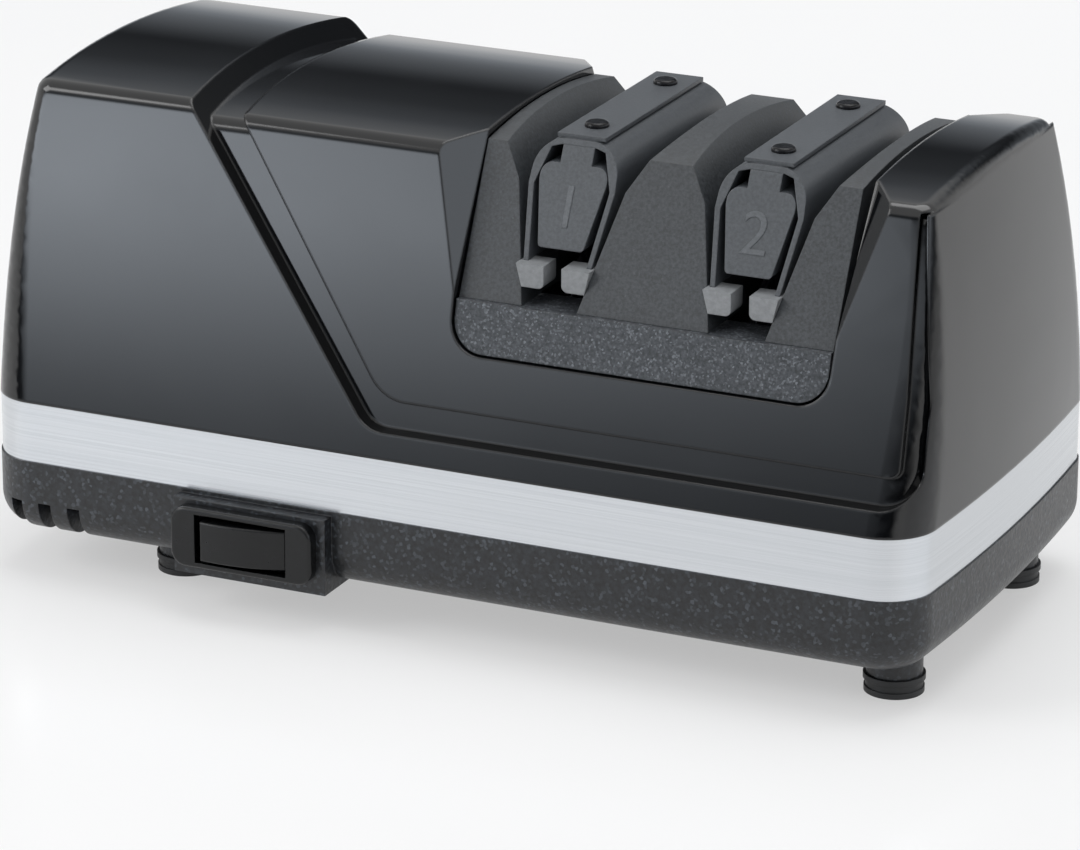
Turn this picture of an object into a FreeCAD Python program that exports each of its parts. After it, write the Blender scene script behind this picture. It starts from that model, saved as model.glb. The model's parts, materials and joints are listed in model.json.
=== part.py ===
import FreeCAD, Part
import math
import os

import Sketcher

Vector = FreeCAD.Vector
doc = FreeCAD.newDocument("knife_sharpener")

# Driving dimensions, in millimetres, each one with what it measures
SIZES = [
    ("band_length", 228.0, "bright band, end to end"),
    ("band_width", 111.5, "bright band, front to back"),
    ("band_low", 27.2, "lower edge of the band above the table"),
    ("band_high", 41.2, "upper edge of the band above the table"),
    ("band_thick", 1.2, "steel strip thickness"),
    ("corner_round", 11.5, "plan radius of the band's corners"),
    ("end_bow", 2.6, "how far the end faces bow outward"),
    ("proud", 0.3, "how far the mouldings stand proud of the band"),
    ("band_fit", 0.2, "gap between the band and the tray's collar"),
    ("foot_high", 9.5, "underside of the tray above the table"),
    ("tray_round", 8.0, "radius of the tray's lower edge"),
    ("tray_wall", 3.0, "wall of the tray"),
    ("collar_wall", 2.2, "wall of the tray's collar inside the band"),
    ("housing_edge", 111.2, "height of the housing's long top edges"),
    ("vault_rise", 3.1, "rise of the top between its long edges"),
    ("top_half", 39.2, "half depth of the top at its long edges"),
    ("lean_radius", 313.0, "radius of the end faces seen from the front"),
    ("lean_start", 47.0, "height where the end faces stand upright"),
    ("top_corner", 5.0, "upright corner radius at the top"),
    ("edge_soft", 3.6, "radius along the top edges"),
    ("panel_set", 2.0, "set-back of the front and rear panels"),
    ("top_drop", 2.4, "drop of the top right of the channel"),
    ("channel_deep", 1.8, "channel below the panel surface"),
    ("channel_base", 47.0, "lower edge of the level channel"),
    ("channel_wide", 6.2, "height of the level channel"),
    ("slant_top", -67.0, "channel's outer edge at the top, from the middle"),
    ("slant_foot", -16.6, "channel's outer edge at its lower corner"),
    ("slant_wide", 11.0, "width of the slanted channel along the length"),
    ("flute_foot", 110.6, "outer edge of the right flute at its foot"),
    ("flute_top", 106.2, "outer edge of the right flute at its top"),
    ("flute_wide", 4.6, "width of the right flute at its foot"),
    ("flute_end", 1.8, "width of the right flute at its top"),
    ("channel_turn", 8.0, "radius of the channel's bends"),
    ("housing_wall", 3.2, "wall of the housing"),
    ("opening_left", 0.3, "left edge of the guide opening"),
    ("opening_right", 88.2, "right edge of the guide opening at its foot"),
    ("opening_lean", 2.8, "how far its right edge leans out at the top"),
    ("opening_low", 65.3, "foot of the guide opening"),
    ("opening_round", 7.5, "radius of the opening's lower corners"),
    ("bevel_start", 78.0, "height where the bevels beside the opening start"),
    ("bevel_side", 8.0, "width of the bevels at the top"),
    ("bevel_back", 11.0, "depth of the bevels at the top"),
    ("module_fit", 0.3, "gap between the guide parts and the housing"),
    ("seam_high", 76.7, "joint between the guide base and the towers"),
    ("module_set", 3.0, "set-back of the guide base from the housing face"),
    ("tower_foot", 43.4, "half depth of the towers at their foot"),
    ("tower_head", 28.3, "half depth of the towers at their head"),
    ("tower_high", 108.4, "height of the towers' front edge"),
    ("tower_rise", 2.4, "rise of the towers' vaulted heads"),
    ("stage_middle", 22.0, "centre of the first stage"),
    ("stage_pitch", 43.7, "distance between the two stages"),
    ("slot_foot", 6.5, "half width of a slot at the seam"),
    ("slot_waist", 12.6, "half width of a slot where it flares"),
    ("waist_high", 101.5, "height where the slots flare"),
    ("slot_mouth", 16.8, "half width of a slot at the towers' front edge"),
    ("plate_high", 111.4, "height of the raised strip on the guides"),
    ("strip_rise", 0.9, "rise of that strip"),
    ("neck_half", 3.7, "half width of the number block's neck"),
    ("leaf", 1.25, "thickness of the spring guide"),
    ("guide_half", 10.2, "half width of the spring guide at its shoulders"),
    ("guide_foot", 8.0, "half width of the spring guide at its feet"),
    ("guide_low", 85.7, "feet of the spring guide"),
    ("guide_shoulder", 101.0, "height of the spring guide's widest place"),
    ("guide_round", 7.0, "shoulder radius of the spring guide"),
    ("block_half", 7.9, "half width of the number block at its shoulders"),
    ("block_foot", 5.3, "half width of the number block at its foot"),
    ("block_low", 88.7, "foot of the number block"),
    ("block_top", 105.6, "shoulders of the number block"),
    ("block_waist", 102.0, "height of the number block's widest place"),
    ("block_round", 2.6, "shoulder radius of the number block"),
    ("pad_low", 80.5, "foot of the blade stops"),
    ("pad_inner", 2.1, "half gap between the two blade stops"),
    ("pad_thick", 4.0, "blade stops, front to back"),
    ("pad_round", 1.4, "inner lower corner of the blade stops"),
    ("guide_screw_span", 18.6, "guide screws from the middle plane"),
    ("guide_screw_head", 2.7, "radius of a guide screw's head"),
    ("guide_screw_rise", 1.1, "height of a guide screw's head"),
    ("guide_screw_shank", 1.5, "radius of a guide screw's shank"),
    ("guide_screw_long", 12.0, "length of a guide screw's shank"),
    ("shaft_high", 58.5, "drive shaft above the table"),
    ("shaft_radius", 3.0, "drive shaft radius"),
    ("shaft_left", 22.0, "drive shaft from the left end"),
    ("shaft_right", 13.5, "drive shaft from the right end"),
    ("slide_gap", 0.05, "running fit of a disc on the shaft"),
    ("disc_radius", 29.0, "abrasive disc radius"),
    ("disc_small", 22.0, "abrasive disc radius at its outer face"),
    ("disc_inner", 3.2, "inner face of a disc from its stage's centre"),
    ("disc_outer", 8.0, "outer face of a disc from its stage's centre"),
    ("disc_relief", 1.6, "gap between a disc and the towers round it"),
    ("disc_hub", 6.0, "radius of a disc's hub"),
    ("spring_radius", 4.4, "mean radius of the springs between the discs"),
    ("spring_wire", 0.7, "wire of those springs"),
    ("collar_radius", 5.5, "stop collar radius"),
    ("collar_long", 3.0, "stop collar length"),
    ("collar_gap", 0.1, "gap between a disc and its stop collar"),
    ("bush_radius", 6.0, "bearing bush radius"),
    ("bush_long", 7.0, "bearing bush length"),
    ("bush_fit", 0.05, "running fit of the shaft in its bushes"),
    ("bracket_thick", 3.0, "bearing bracket thickness"),
    ("bracket_half", 24.0, "bearing bracket half width at its foot"),
    ("bracket_head", 12.0, "bearing bracket half width at its head"),
    ("bracket_over", 14.0, "bearing bracket height above the shaft"),
    ("left_bracket", 36.0, "left motor bracket from the left end"),
    ("right_bracket", 98.0, "right motor bracket from the left end"),
    ("end_bracket", 17.2, "end bracket from the right end"),
    ("stator_middle", 61.0, "middle of the motor's iron from the left end"),
    ("stator_long", 30.0, "motor iron, along the shaft"),
    ("stator_half", 31.0, "motor iron, half width"),
    ("stator_tall", 24.0, "motor iron, half height"),
    ("stator_bore", 17.0, "bore of the motor iron"),
    ("air_gap", 0.5, "gap between rotor and iron"),
    ("coil_build", 7.0, "how far a winding stands out of the iron"),
    ("coil_wide", 8.0, "width of a winding"),
    ("coil_tall", 11.6, "half height of a winding"),
    ("coil_fit", 0.4, "gap above and below a winding"),
    ("coil_edge", 5.0, "iron outside a winding"),
    ("commutator_radius", 8.0, "commutator radius"),
    ("commutator_long", 9.0, "commutator length"),
    ("brush_side", 4.5, "side of a carbon brush"),
    ("brush_long", 11.0, "length of a brush holder"),
    ("fan_radius", 25.0, "cooling fan radius"),
    ("fan_long", 7.0, "cooling fan blade length along the shaft"),
    ("fan_blade", 1.4, "cooling fan blade thickness"),
    ("fan_hub", 6.5, "cooling fan hub radius"),
    ("fan_blades", 9.0, "number of cooling fan blades"),
    ("foot_left", 42.6, "left feet from the left end"),
    ("foot_right", 13.2, "right feet from the right end"),
    ("foot_back", 19.45, "feet from the front and the back"),
    ("post_radius", 6.2, "foot post radius"),
    ("rubber_radius", 6.8, "rubber foot radius"),
    ("rubber_high", 4.2, "rubber foot height"),
    ("rubber_lip", 0.5, "lip round the rubber foot"),
    ("lip_high", 1.3, "height of that lip"),
    ("seat_left", -62.0, "left end of the switch seat"),
    ("seat_right", -24.5, "right end of the switch seat"),
    ("seat_low", 8.6, "foot of the switch seat"),
    ("seat_high", 26.2, "head of the switch seat"),
    ("seat_out", 3.4, "how far the switch seat stands out"),
    ("bezel_half", 17.4, "half length of the switch bezel"),
    ("bezel_tall", 7.0, "half height of the switch bezel"),
    ("bezel_thick", 3.0, "thickness of the switch bezel"),
    ("bezel_round", 3.6, "corner radius of the switch bezel"),
    ("bezel_middle", -44.0, "centre of the switch bezel"),
    ("switch_high", 18.2, "centre of the switch above the table"),
    ("rocker_half", 10.2, "half length of the rocker"),
    ("rocker_tall", 4.6, "half height of the rocker"),
    ("rocker_gap", 1.1, "gap round the rocker"),
    ("rocker_deep", 6.0, "rocker axis behind the bezel face"),
    ("rocker_rise", 1.2, "rocker's middle above the bezel face"),
    ("rocker_tilt", 7.0, "tilt of the rocker as it stands, degrees"),
    ("cradle_back", 3.2, "front of the switch cradle behind the band"),
    ("cradle_gap", 0.3, "gap round the switch cradle"),
    ("switch_long", 28.0, "switch body behind the seat, front to back"),
    ("vent_wide", 3.2, "width of the vent slots"),
    ("vent_pitch", 7.4, "distance between vent slots"),
    ("vent_first", 8.0, "first vent slot from the left end"),
    ("vent_top", 17.5, "top of the vent slots"),
    ("door_left", 2.0, "left edge of the clean-out opening"),
    ("door_right", 86.0, "right edge of the clean-out opening"),
    ("door_half", 22.0, "half depth of the clean-out opening"),
    ("door_thick", 2.2, "clean-out cover thickness"),
    ("door_gap", 0.4, "gap round the clean-out cover"),
    ("door_round", 4.0, "corner radius of the clean-out opening"),
    ("grip_radius", 9.0, "finger recess of the clean-out cover"),
    ("grip_deep", 1.0, "depth of that recess"),
    ("magnet_long", 40.0, "shavings magnet length"),
    ("magnet_wide", 10.0, "shavings magnet width"),
    ("magnet_high", 3.0, "shavings magnet height"),
    ("gland_place", 38.0, "cord gland from the left end"),
    ("gland_high", 19.5, "cord gland above the table"),
    ("gland_radius", 6.0, "cord gland flange radius"),
    ("gland_neck", 4.6, "cord gland neck radius"),
    ("gland_bore", 3.2, "cord gland bore radius"),
    ("gland_out", 7.85, "how far the gland stands out"),
    ("boss_radius", 4.2, "screw boss radius"),
    ("boss_place", 26.0, "screw bosses from the ends"),
    ("boss_back", 11.75, "screw bosses from the front and the back"),
    ("boss_top", 62.0, "upper end of the screw bosses"),
    ("case_screw_head", 3.4, "case screw head radius"),
    ("case_screw_shank", 1.8, "case screw shank radius"),
    ("case_screw_long", 24.0, "case screw shank length"),
    ("case_head_high", 2.4, "case screw head height"),
    ("case_head_sunk", 1.6, "case screw head above the underside"),
    ("tray_boss_radius", 5.4, "radius of the tray's screw posts"),
    ("boss_low", 24.5, "lower end of the screw bosses"),
    ("hole_fit", 0.3, "gap round the case screws in the tray"),
]


class Size:
    """A length that carries both its number and the sheet formula behind it."""

    def __init__(self, value, text):
        self.value = value
        self.text = text

    def __add__(self, other):
        other = as_size(other)
        return Size(self.value + other.value, f"({self.text} + {other.text})")

    def __radd__(self, other):
        return as_size(other) + self

    def __sub__(self, other):
        other = as_size(other)
        return Size(self.value - other.value, f"({self.text} - {other.text})")

    def __rsub__(self, other):
        return as_size(other) - self

    def __mul__(self, other):
        other = as_size(other)
        return Size(self.value * other.value, f"({self.text} * {other.text})")

    def __rmul__(self, other):
        return as_size(other) * self

    def __truediv__(self, other):
        other = as_size(other)
        return Size(self.value / other.value, f"({self.text} / {other.text})")

    def __neg__(self):
        return Size(-self.value, f"(0 - {self.text})")


def as_size(number):
    """Turn a plain number into a Size, and leave a Size as it is."""
    if isinstance(number, Size):
        return number
    return Size(float(number), f"({float(number)!r})")


class Sheet:
    """The driving dimensions as attributes."""


def make_sheet():
    """Fill the spreadsheet and hand back its cells as Sizes."""
    sheet = doc.addObject("Spreadsheet::Sheet", "sizes")
    cells = Sheet()
    for row, (alias, value, note) in enumerate(SIZES, start=1):
        sheet.set(f"A{row}", alias)
        sheet.set(f"B{row}", str(value))
        sheet.setAlias(f"B{row}", alias)
        sheet.set(f"C{row}", note)
        setattr(cells, alias, Size(value, f"sizes.{alias}"))
    doc.recompute()
    return cells


S = make_sheet()
parts = {}


def bind(thing, path, size):
    """Tie one property of a document object to a sheet formula."""
    thing.setExpression(path, as_size(size).text)


def finish(thing, label):
    """Name a finished sub-part and keep it for the export."""
    thing.Label = label
    parts[label] = thing
    return thing


def place(thing, x=0, y=0, z=0):
    """Bind the place of an object, axis by axis."""
    for axis, size in zip("xyz", (x, y, z)):
        bind(thing, f"Placement.Base.{axis}", size)


def box(name, x, y, z):
    """A block between three pairs of limits."""
    block = doc.addObject("Part::Box", name)
    for path, (low, high) in zip(("Length", "Width", "Height"), (x, y, z)):
        bind(block, path, as_size(high) - low)
    place(block, x[0], y[0], z[0])
    return block


TURNS = {
    "x": FreeCAD.Rotation(Vector(0, 1, 0), 90),
    "y": FreeCAD.Rotation(Vector(1, 0, 0), -90),
    "z": FreeCAD.Rotation(),
}


def cylinder(name, axis, start, long, radius, x=0, y=0, z=0):
    """A round bar along one axis, from start over its length."""
    bar = doc.addObject("Part::Cylinder", name)
    bind(bar, "Radius", radius)
    bind(bar, "Height", long)
    bar.Placement = FreeCAD.Placement(Vector(), TURNS[axis])
    spot = {"x": x, "y": y, "z": z}
    spot[axis] = start
    place(bar, spot["x"], spot["y"], spot["z"])
    return bar


def cone(name, start, long, first, last, y=0, z=0):
    """A tapered bar along the length."""
    bar = doc.addObject("Part::Cone", name)
    bind(bar, "Radius1", first)
    bind(bar, "Radius2", last)
    bind(bar, "Height", long)
    bar.Placement = FreeCAD.Placement(Vector(), TURNS["x"])
    place(bar, start, y, z)
    return bar


def cut(name, base, tools):
    """Take tools away from a base, one after the other."""
    for index, tool in enumerate(tools):
        result = doc.addObject("Part::Cut", f"{name}_{index}")
        result.Base = base
        result.Tool = tool
        base = result
    return base


def fuse(name, shapes):
    """Join shapes into one solid, or group separate ones."""
    result = doc.addObject("Part::MultiFuse", name)
    result.Shapes = shapes
    return result


def origin_plane(body, role):
    """One of a body's own origin planes."""
    for feature in body.Origin.OriginFeatures:
        if feature.Role == role:
            return feature
    raise ValueError(role)


def draw(body, name, role, points, level, arcs=None):
    """A closed outline whose corners are bound to the sheet.

    points are pairs of Sizes; arcs maps the index of a side to the rise of
    its arc and that arc's chord, both as Sizes.
    """
    arcs = arcs or {}
    sketch = body.newObject("Sketcher::SketchObject", name)
    sketch.AttachmentSupport = [(origin_plane(body, role), "")]
    sketch.MapMode = "FlatFace"
    bind(sketch, "AttachmentOffset.Base.z", level)
    pairs = [(as_size(a), as_size(b)) for a, b in points]
    spots = [Vector(a.value, b.value, 0) for a, b in pairs]
    sides = []
    for index, spot in enumerate(spots):
        following = spots[(index + 1) % len(spots)]
        if index in arcs:
            rise = as_size(arcs[index][0]).value
            run = following - spot
            outward = Vector(run.y, -run.x, 0).normalize()
            crown = (spot + following) * 0.5 + outward * rise
            sides.append(Part.Arc(spot, crown, following))
        else:
            sides.append(Part.LineSegment(spot, following))
    sketch.addGeometry(sides, False)
    ends = {}
    for index, spot in enumerate(spots):
        first = sketch.getPoint(index, 1)
        ends[index] = (1, 2) if first.distanceToPoint(spot) < 1e-6 else (2, 1)
    for index in range(len(spots)):
        following = (index + 1) % len(spots)
        sketch.addConstraint(Sketcher.Constraint(
            "Coincident", index, ends[index][1], following, ends[following][0]))
    for index, (across, along) in enumerate(pairs):
        for kind, size in (("DistanceX", across), ("DistanceY", along)):
            number = sketch.addConstraint(Sketcher.Constraint(
                kind, -1, 1, index, ends[index][0], size.value))
            bind(sketch, f"Constraints[{number}]", size)
    for index, (rise, chord) in arcs.items():
        radius = (chord * chord / 4 + rise * rise) / (rise * 2)
        number = sketch.addConstraint(Sketcher.Constraint("Radius", index, radius.value))
        bind(sketch, f"Constraints[{number}]", radius)
    return sketch


# For each plane: does its normal point against the world axis
AGAINST = {"YZ_Plane": False, "XZ_Plane": True, "XY_Plane": False}


def pad(body, name, role, points, start, end, arcs=None):
    """Raise an outline between two levels of the axis square to its plane."""
    level = -as_size(end) if AGAINST[role] else start
    feature = body.newObject("PartDesign::Pad", name)
    feature.Profile = draw(body, name + "_outline", role, points, level, arcs)
    bind(feature, "Length", as_size(end) - start)
    return feature


def pocket(body, name, role, points, start, end, arcs=None):
    """Sink an outline between two levels, and make sure that it cuts."""
    doc.recompute()
    before = body.Shape.Volume
    level = -as_size(start) if AGAINST[role] else end
    feature = body.newObject("PartDesign::Pocket", name)
    feature.Profile = draw(body, name + "_outline", role, points, level, arcs)
    bind(feature, "Length", as_size(end) - start)
    doc.recompute()
    if body.Shape.Volume >= before - 1e-6:
        raise ValueError(name + " cuts nothing")
    return feature


def new_body(name):
    """An empty body."""
    return doc.addObject("PartDesign::Body", name)


def pick_edges(shape, wanted):
    """Names of the edges whose middle and box pass a test."""
    return [
        f"Edge{number}"
        for number, edge in enumerate(shape.Edges, start=1)
        if wanted(edge, edge.CenterOfMass, edge.BoundBox)
    ]


def soften(body, name, radius, wanted):
    """Round the chosen edges of a body."""
    doc.recompute()
    tip = body.Tip
    feature = body.newObject("PartDesign::Fillet", name)
    feature.Base = (tip, pick_edges(tip.Shape, wanted))
    bind(feature, "Radius", radius)
    return feature


def near(first, second):
    """Whether two numbers are the same length."""
    return abs(first - second) < 1e-3


def rectangle(x, y):
    """The four corners between two pairs of limits."""
    return [(x[0], y[0]), (x[1], y[0]), (x[1], y[1]), (x[0], y[1])]


half_length = S.band_length / 2
half_width = S.band_width / 2
lean_slope = (half_width - S.top_half) / (S.housing_edge - S.band_high)


def face_depth(height, inward=0):
    """Half depth of the housing's sloping front at a height."""
    return half_width + S.proud - lean_slope * (as_size(height) - S.band_high) - inward


# The plan of the band, with straight long sides and bowed ends

def plan_points(inset):
    """Corners of the bowed plan, drawn in by an inset."""
    x = half_length - inset - S.end_bow
    y = half_width - inset
    return [(-x, -y), (x, -y), (x, y), (-x, y)]


def plan_arcs(inset):
    """The two bowed ends of that plan."""
    chord = (half_width - inset) * 2
    return {1: (S.end_bow, chord), 3: (S.end_bow, chord)}


def plan_body(name, inset, low, high, corner):
    """An upright block with the band's plan."""
    body = new_body(name)
    pad(body, name + "_pad", "XY_Plane", plan_points(inset), low, high, plan_arcs(inset))
    soften(body, name + "_corners", corner,
           lambda edge, middle, span: span.ZLength > 1 and abs(middle.y) > 20)
    return body


# The housing's outer form

def envelope(name, inward, drop):
    """The closed outer form: sloping faces, vaulted top, leaning bowed ends."""
    body = new_body(name + "_body")
    low = S.band_high
    edge = S.housing_edge - drop
    foot = face_depth(low, inward)
    head = face_depth(edge, inward)
    reach = half_length + 8
    pad(body, name + "_section", "YZ_Plane",
        [(-foot, low), (foot, low), (head, edge), (-head, edge)],
        -reach, reach, {2: (S.vault_rise, head * 2)})
    end_profile(body, name)
    corners = doc.addObject("Part::Fillet", name + "_corners")
    corners.Base = body
    doc.recompute()
    corners.Edges = upright_rounds(body.Shape)
    doc.recompute()
    rounded = doc.addObject("Part::Fillet", name)
    rounded.Base = corners
    soft = S.edge_soft.value
    limit = edge.value - 6
    rounded.Edges = [
        (number, soft, soft)
        for number, line in enumerate(corners.Shape.Edges, start=1)
        if line.BoundBox.ZMin > limit
    ]
    return rounded


def end_profile(body, name):
    """Turn the leaning end line about a far upright axis, and cut with it."""
    reach = half_length + S.proud
    bow_radius = (half_width * half_width + S.end_bow * S.end_bow) / (S.end_bow * 2)
    low = S.band_high - 1
    high = S.housing_edge + S.vault_rise + 4
    bulge = S.lean_radius
    squares = {}
    for key, height in (("low", low), ("high", high)):
        rise = height - S.lean_start
        squares[key] = bulge * bulge - rise * rise
    x_low = root_offset(reach, bulge, squares["low"])
    x_high = root_offset(reach, bulge, squares["high"])
    sketch = body.newObject("Sketcher::SketchObject", name + "_end_outline")
    sketch.AttachmentSupport = [(origin_plane(body, "XZ_Plane"), "")]
    sketch.MapMode = "FlatFace"
    middle = (low + high) / 2
    rise = middle - S.lean_start
    x_middle = root_offset(reach, bulge, bulge * bulge - rise * rise)
    outside = half_length + 12
    corners = [(x_low, low), (x_high, high), (outside, high), (outside, low)]
    spots = [Vector(a.value, b.value, 0) for a, b in corners]
    sketch.addGeometry([
        Part.Arc(spots[0], Vector(x_middle.value, middle.value, 0), spots[1]),
        Part.LineSegment(spots[1], spots[2]),
        Part.LineSegment(spots[2], spots[3]),
        Part.LineSegment(spots[3], spots[0]),
    ], False)
    first = 1 if sketch.getPoint(0, 1).distanceToPoint(spots[0]) < 1e-6 else 2
    joints = [(0, 3 - first, 1, 1), (1, 2, 2, 1), (2, 2, 3, 1), (3, 2, 0, first)]
    for joint in joints:
        sketch.addConstraint(Sketcher.Constraint("Coincident", *joint))
    holds = [(0, first, corners[0]), (1, 1, corners[1]), (2, 1, corners[2]), (3, 1, corners[3])]
    for side, end, (across, along) in holds:
        for kind, size in (("DistanceX", across), ("DistanceY", along)):
            number = sketch.addConstraint(Sketcher.Constraint(kind, -1, 1, side, end, size.value))
            bind(sketch, f"Constraints[{number}]", size)
    number = sketch.addConstraint(Sketcher.Constraint("Radius", 0, bulge.value))
    bind(sketch, f"Constraints[{number}]", bulge)
    axis_x = reach - bow_radius
    axis = sketch.addGeometry(Part.LineSegment(
        Vector(axis_x.value, low.value, 0), Vector(axis_x.value, high.value, 0)), True)
    for end, along in ((1, low), (2, high)):
        for kind, size in (("DistanceX", axis_x), ("DistanceY", along)):
            number = sketch.addConstraint(Sketcher.Constraint(kind, -1, 1, axis, end, size.value))
            bind(sketch, f"Constraints[{number}]", size)
    doc.recompute()
    groove = body.newObject("PartDesign::Groove", name + "_end")
    groove.Profile = sketch
    groove.ReferenceAxis = (sketch, ["Axis0"])
    groove.Midplane = True
    groove.Angle = 30
    doc.recompute()
    mirror = body.newObject("PartDesign::Mirrored", name + "_other_end")
    mirror.Originals = [groove]
    mirror.MirrorPlane = (origin_plane(body, "YZ_Plane"), [""])
    body.Tip = mirror
    doc.recompute()


def root_offset(reach, bulge, square):
    """Place on an arc of radius bulge that touches the reach."""
    value = reach.value - (bulge.value - math.sqrt(square.value))
    return Size(value, f"({reach.text} - ({bulge.text} - sqrt({square.text})))")


def upright_rounds(shape):
    """Edge numbers and radii of the four upright corners, wide below, tight above."""
    rounds = []
    for number, edge in enumerate(shape.Edges, start=1):
        upright = edge.BoundBox.ZLength > 40 and abs(edge.CenterOfMass.y) > 20
        if not upright:
            continue
        radii = []
        for end in (edge.FirstParameter, edge.LastParameter):
            low = edge.valueAt(end).z < S.band_high.value + 10
            radii.append(S.corner_round.value + S.proud.value if low else S.top_corner.value)
        rounds.append((number, radii[0], radii[1]))
    return rounds


# Outlines of the channel, the panel and the guide opening, seen from the front

ABOVE = S.housing_edge + S.vault_rise + 6
slant = (S.slant_foot - S.slant_top) / (S.housing_edge - S.channel_base)
panel_low = S.channel_base + S.channel_wide


def slant_x(height, across=0):
    """Outer edge of the slanted channel at a height."""
    return S.slant_top + slant * (S.housing_edge - height) + across


def channel_outline():
    """Everything inside the channel's outer edge."""
    shoulder = S.housing_edge - S.top_drop - 1
    return [
        (slant_x(ABOVE), ABOVE), (S.slant_foot, S.channel_base),
        (S.flute_foot, S.channel_base), (S.flute_foot, panel_low + 16),
        (S.flute_top, shoulder), (half_length + 10, shoulder), (half_length + 10, ABOVE)]


def panel_outline():
    """The panel inside the channel."""
    left = slant_x(panel_low, S.slant_wide) - S.slant_wide * 0.35
    right = S.flute_foot - S.flute_wide
    return [
        (slant_x(ABOVE, S.slant_wide), ABOVE), (left, panel_low), (right, panel_low),
        (right, panel_low + 16), (S.flute_top - S.flute_end, S.housing_edge - S.top_drop - 1),
        (half_length + 10, S.housing_edge - S.top_drop - 1), (half_length + 10, ABOVE)]


def front_prism(name, points, rounds):
    """An outline seen from the front, driven through the whole depth."""
    body = new_body(name)
    reach = half_width + 10
    pad(body, name + "_pad", "XZ_Plane", points, -reach, reach)
    for index, (radius, x, z) in enumerate(rounds):
        soften(body, f"{name}_bend_{index}", radius, edge_at(x, z))
    return body


def edge_at(x, z):
    """A test for the edge across the depth at one place seen from the front."""
    x, z = as_size(x).value, as_size(z).value
    return lambda edge, middle, span: (
        span.YLength > 5 and near(middle.x, x) and near(middle.z, z))


def bevel(name, side, front):
    """The wedge taken off beside the guide opening, wide at the top."""
    top = S.housing_edge.value + 0.4
    start = S.bevel_start.value
    if side < 0:
        foot_x = head_x = S.opening_left.value
    else:
        foot_x = S.opening_right.value + 0.2
        head_x = S.opening_right.value + S.opening_lean.value
    depth_foot = face_depth(S.bevel_start, S.panel_set).value
    depth_head = face_depth(S.housing_edge, S.panel_set).value
    low = Vector(foot_x, -depth_foot, start)
    outer = Vector(head_x + side * S.bevel_side.value, -depth_head, top)
    inner = Vector(head_x, -depth_head + S.bevel_back.value, top)
    rise = (outer - low) * 0.25
    turn = (inner - low) * 0.25
    outer = outer + rise
    inner = inner + turn
    away = Vector(-side * 14, -14, 0)
    solid = convex_solid([low, outer, inner], away)
    if not front:
        solid = solid.mirror(Vector(), Vector(0, 1, 0))
    wedge = doc.addObject("Part::Feature", name)
    wedge.Shape = solid
    return wedge


def convex_solid(corners, away):
    """A prism that drives a three-cornered face along one direction."""
    face = Part.Face(Part.makePolygon(corners + [corners[0]]))
    return face.extrude(away)


def make_housing():
    """Upper housing: shell, channel, set-back panels, guide opening, bosses."""
    outer = envelope("outer_form", as_size(0), as_size(0))
    panel = envelope("panel_form", S.panel_set, S.top_drop)
    floor = envelope("channel_form", S.panel_set + S.channel_deep, S.top_drop + S.channel_deep)
    bend = [(S.channel_turn, S.slant_foot, S.channel_base),
            (S.channel_turn, S.flute_foot, S.channel_base)]
    panel_left = slant_x(panel_low, S.slant_wide) - S.slant_wide * 0.35
    panel_bend = [(S.channel_turn + 3, panel_left, panel_low),
                  (S.channel_turn / 4, S.flute_foot - S.flute_wide, panel_low)]
    whole = front_prism("channel_prism", channel_outline(), bend)
    whole_again = front_prism("channel_prism_again", channel_outline(), bend)
    middle = front_prism("panel_prism", panel_outline(), panel_bend)
    skin = cut("panel_skin", whole, [panel])
    ring = cut("channel_ring", whole_again, [middle, floor])
    left = S.opening_left
    right = S.opening_right
    lean = S.opening_right + S.opening_lean
    opening = front_prism(
        "opening_prism",
        [(left, S.opening_low), (right, S.opening_low), (lean, ABOVE), (left, ABOVE)],
        [(S.opening_round, left, S.opening_low), (S.opening_round, right, S.opening_low)])
    wedges = [
        bevel(f"bevel_{index}", side, front)
        for index, (side, front) in enumerate([(-1, True), (1, True), (-1, False), (1, False)])]
    shell = cut("shell", outer, [skin, ring, opening] + wedges + housing_hollows())
    bosses = []
    pilots = []
    for index, (x, y) in enumerate(corner_places(half_length - S.boss_place, half_width - S.boss_back)):
        low = S.boss_low
        bosses.append(cylinder(f"boss_{index}", "z", low, S.boss_top - low, S.boss_radius, x=x, y=y))
        pilots.append(cylinder(f"pilot_{index}", "z", low - 1, S.boss_top - low - 4,
                               S.case_screw_shank + S.slide_gap, x=x, y=y))
    joined = fuse("housing_joined", [shell] + bosses)
    return finish(cut("housing_bored", joined, pilots), "upper_housing")


def corner_places(x, y):
    """The four places mirrored about both middle planes."""
    return [(-x, -y), (x, -y), (x, y), (-x, y)]


def hollow(name, left, right, low, high, inward):
    """A tapering hollow that follows the sloping faces."""
    body = new_body(name)
    foot = face_depth(low, inward)
    head = face_depth(high, inward)
    pad(body, name + "_pad", "YZ_Plane",
        [(-foot, low), (foot, low), (head, high), (-head, high)], left, right)
    return body


def housing_hollows():
    """The motor bay, the disc bay, the right bay and the open underside."""
    deep = S.panel_set + S.channel_deep + S.housing_wall
    low = S.band_high - 1
    left_end = -(half_length - 13)
    bay_top = S.housing_edge - S.top_drop - S.channel_deep - S.housing_wall
    seam = S.opening_low - S.housing_wall
    motor = hollow("motor_bay", left_end, S.opening_left - S.housing_wall, low, bay_top, deep)
    discs = hollow("disc_bay", S.opening_left - S.housing_wall - 1, half_length - 12, low, seam, deep)
    inner = S.module_set + 8
    right = hollow("right_bay", S.opening_right + S.housing_wall, half_length - 12, low,
                   S.shaft_high + S.bracket_over + 2, deep)
    throat = hollow("throat", S.opening_left + 4, S.opening_right - 4,
                    seam - 1, S.opening_low + 1, deep + inner)
    return [motor, discs, right, throat]


# The bright band

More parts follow.
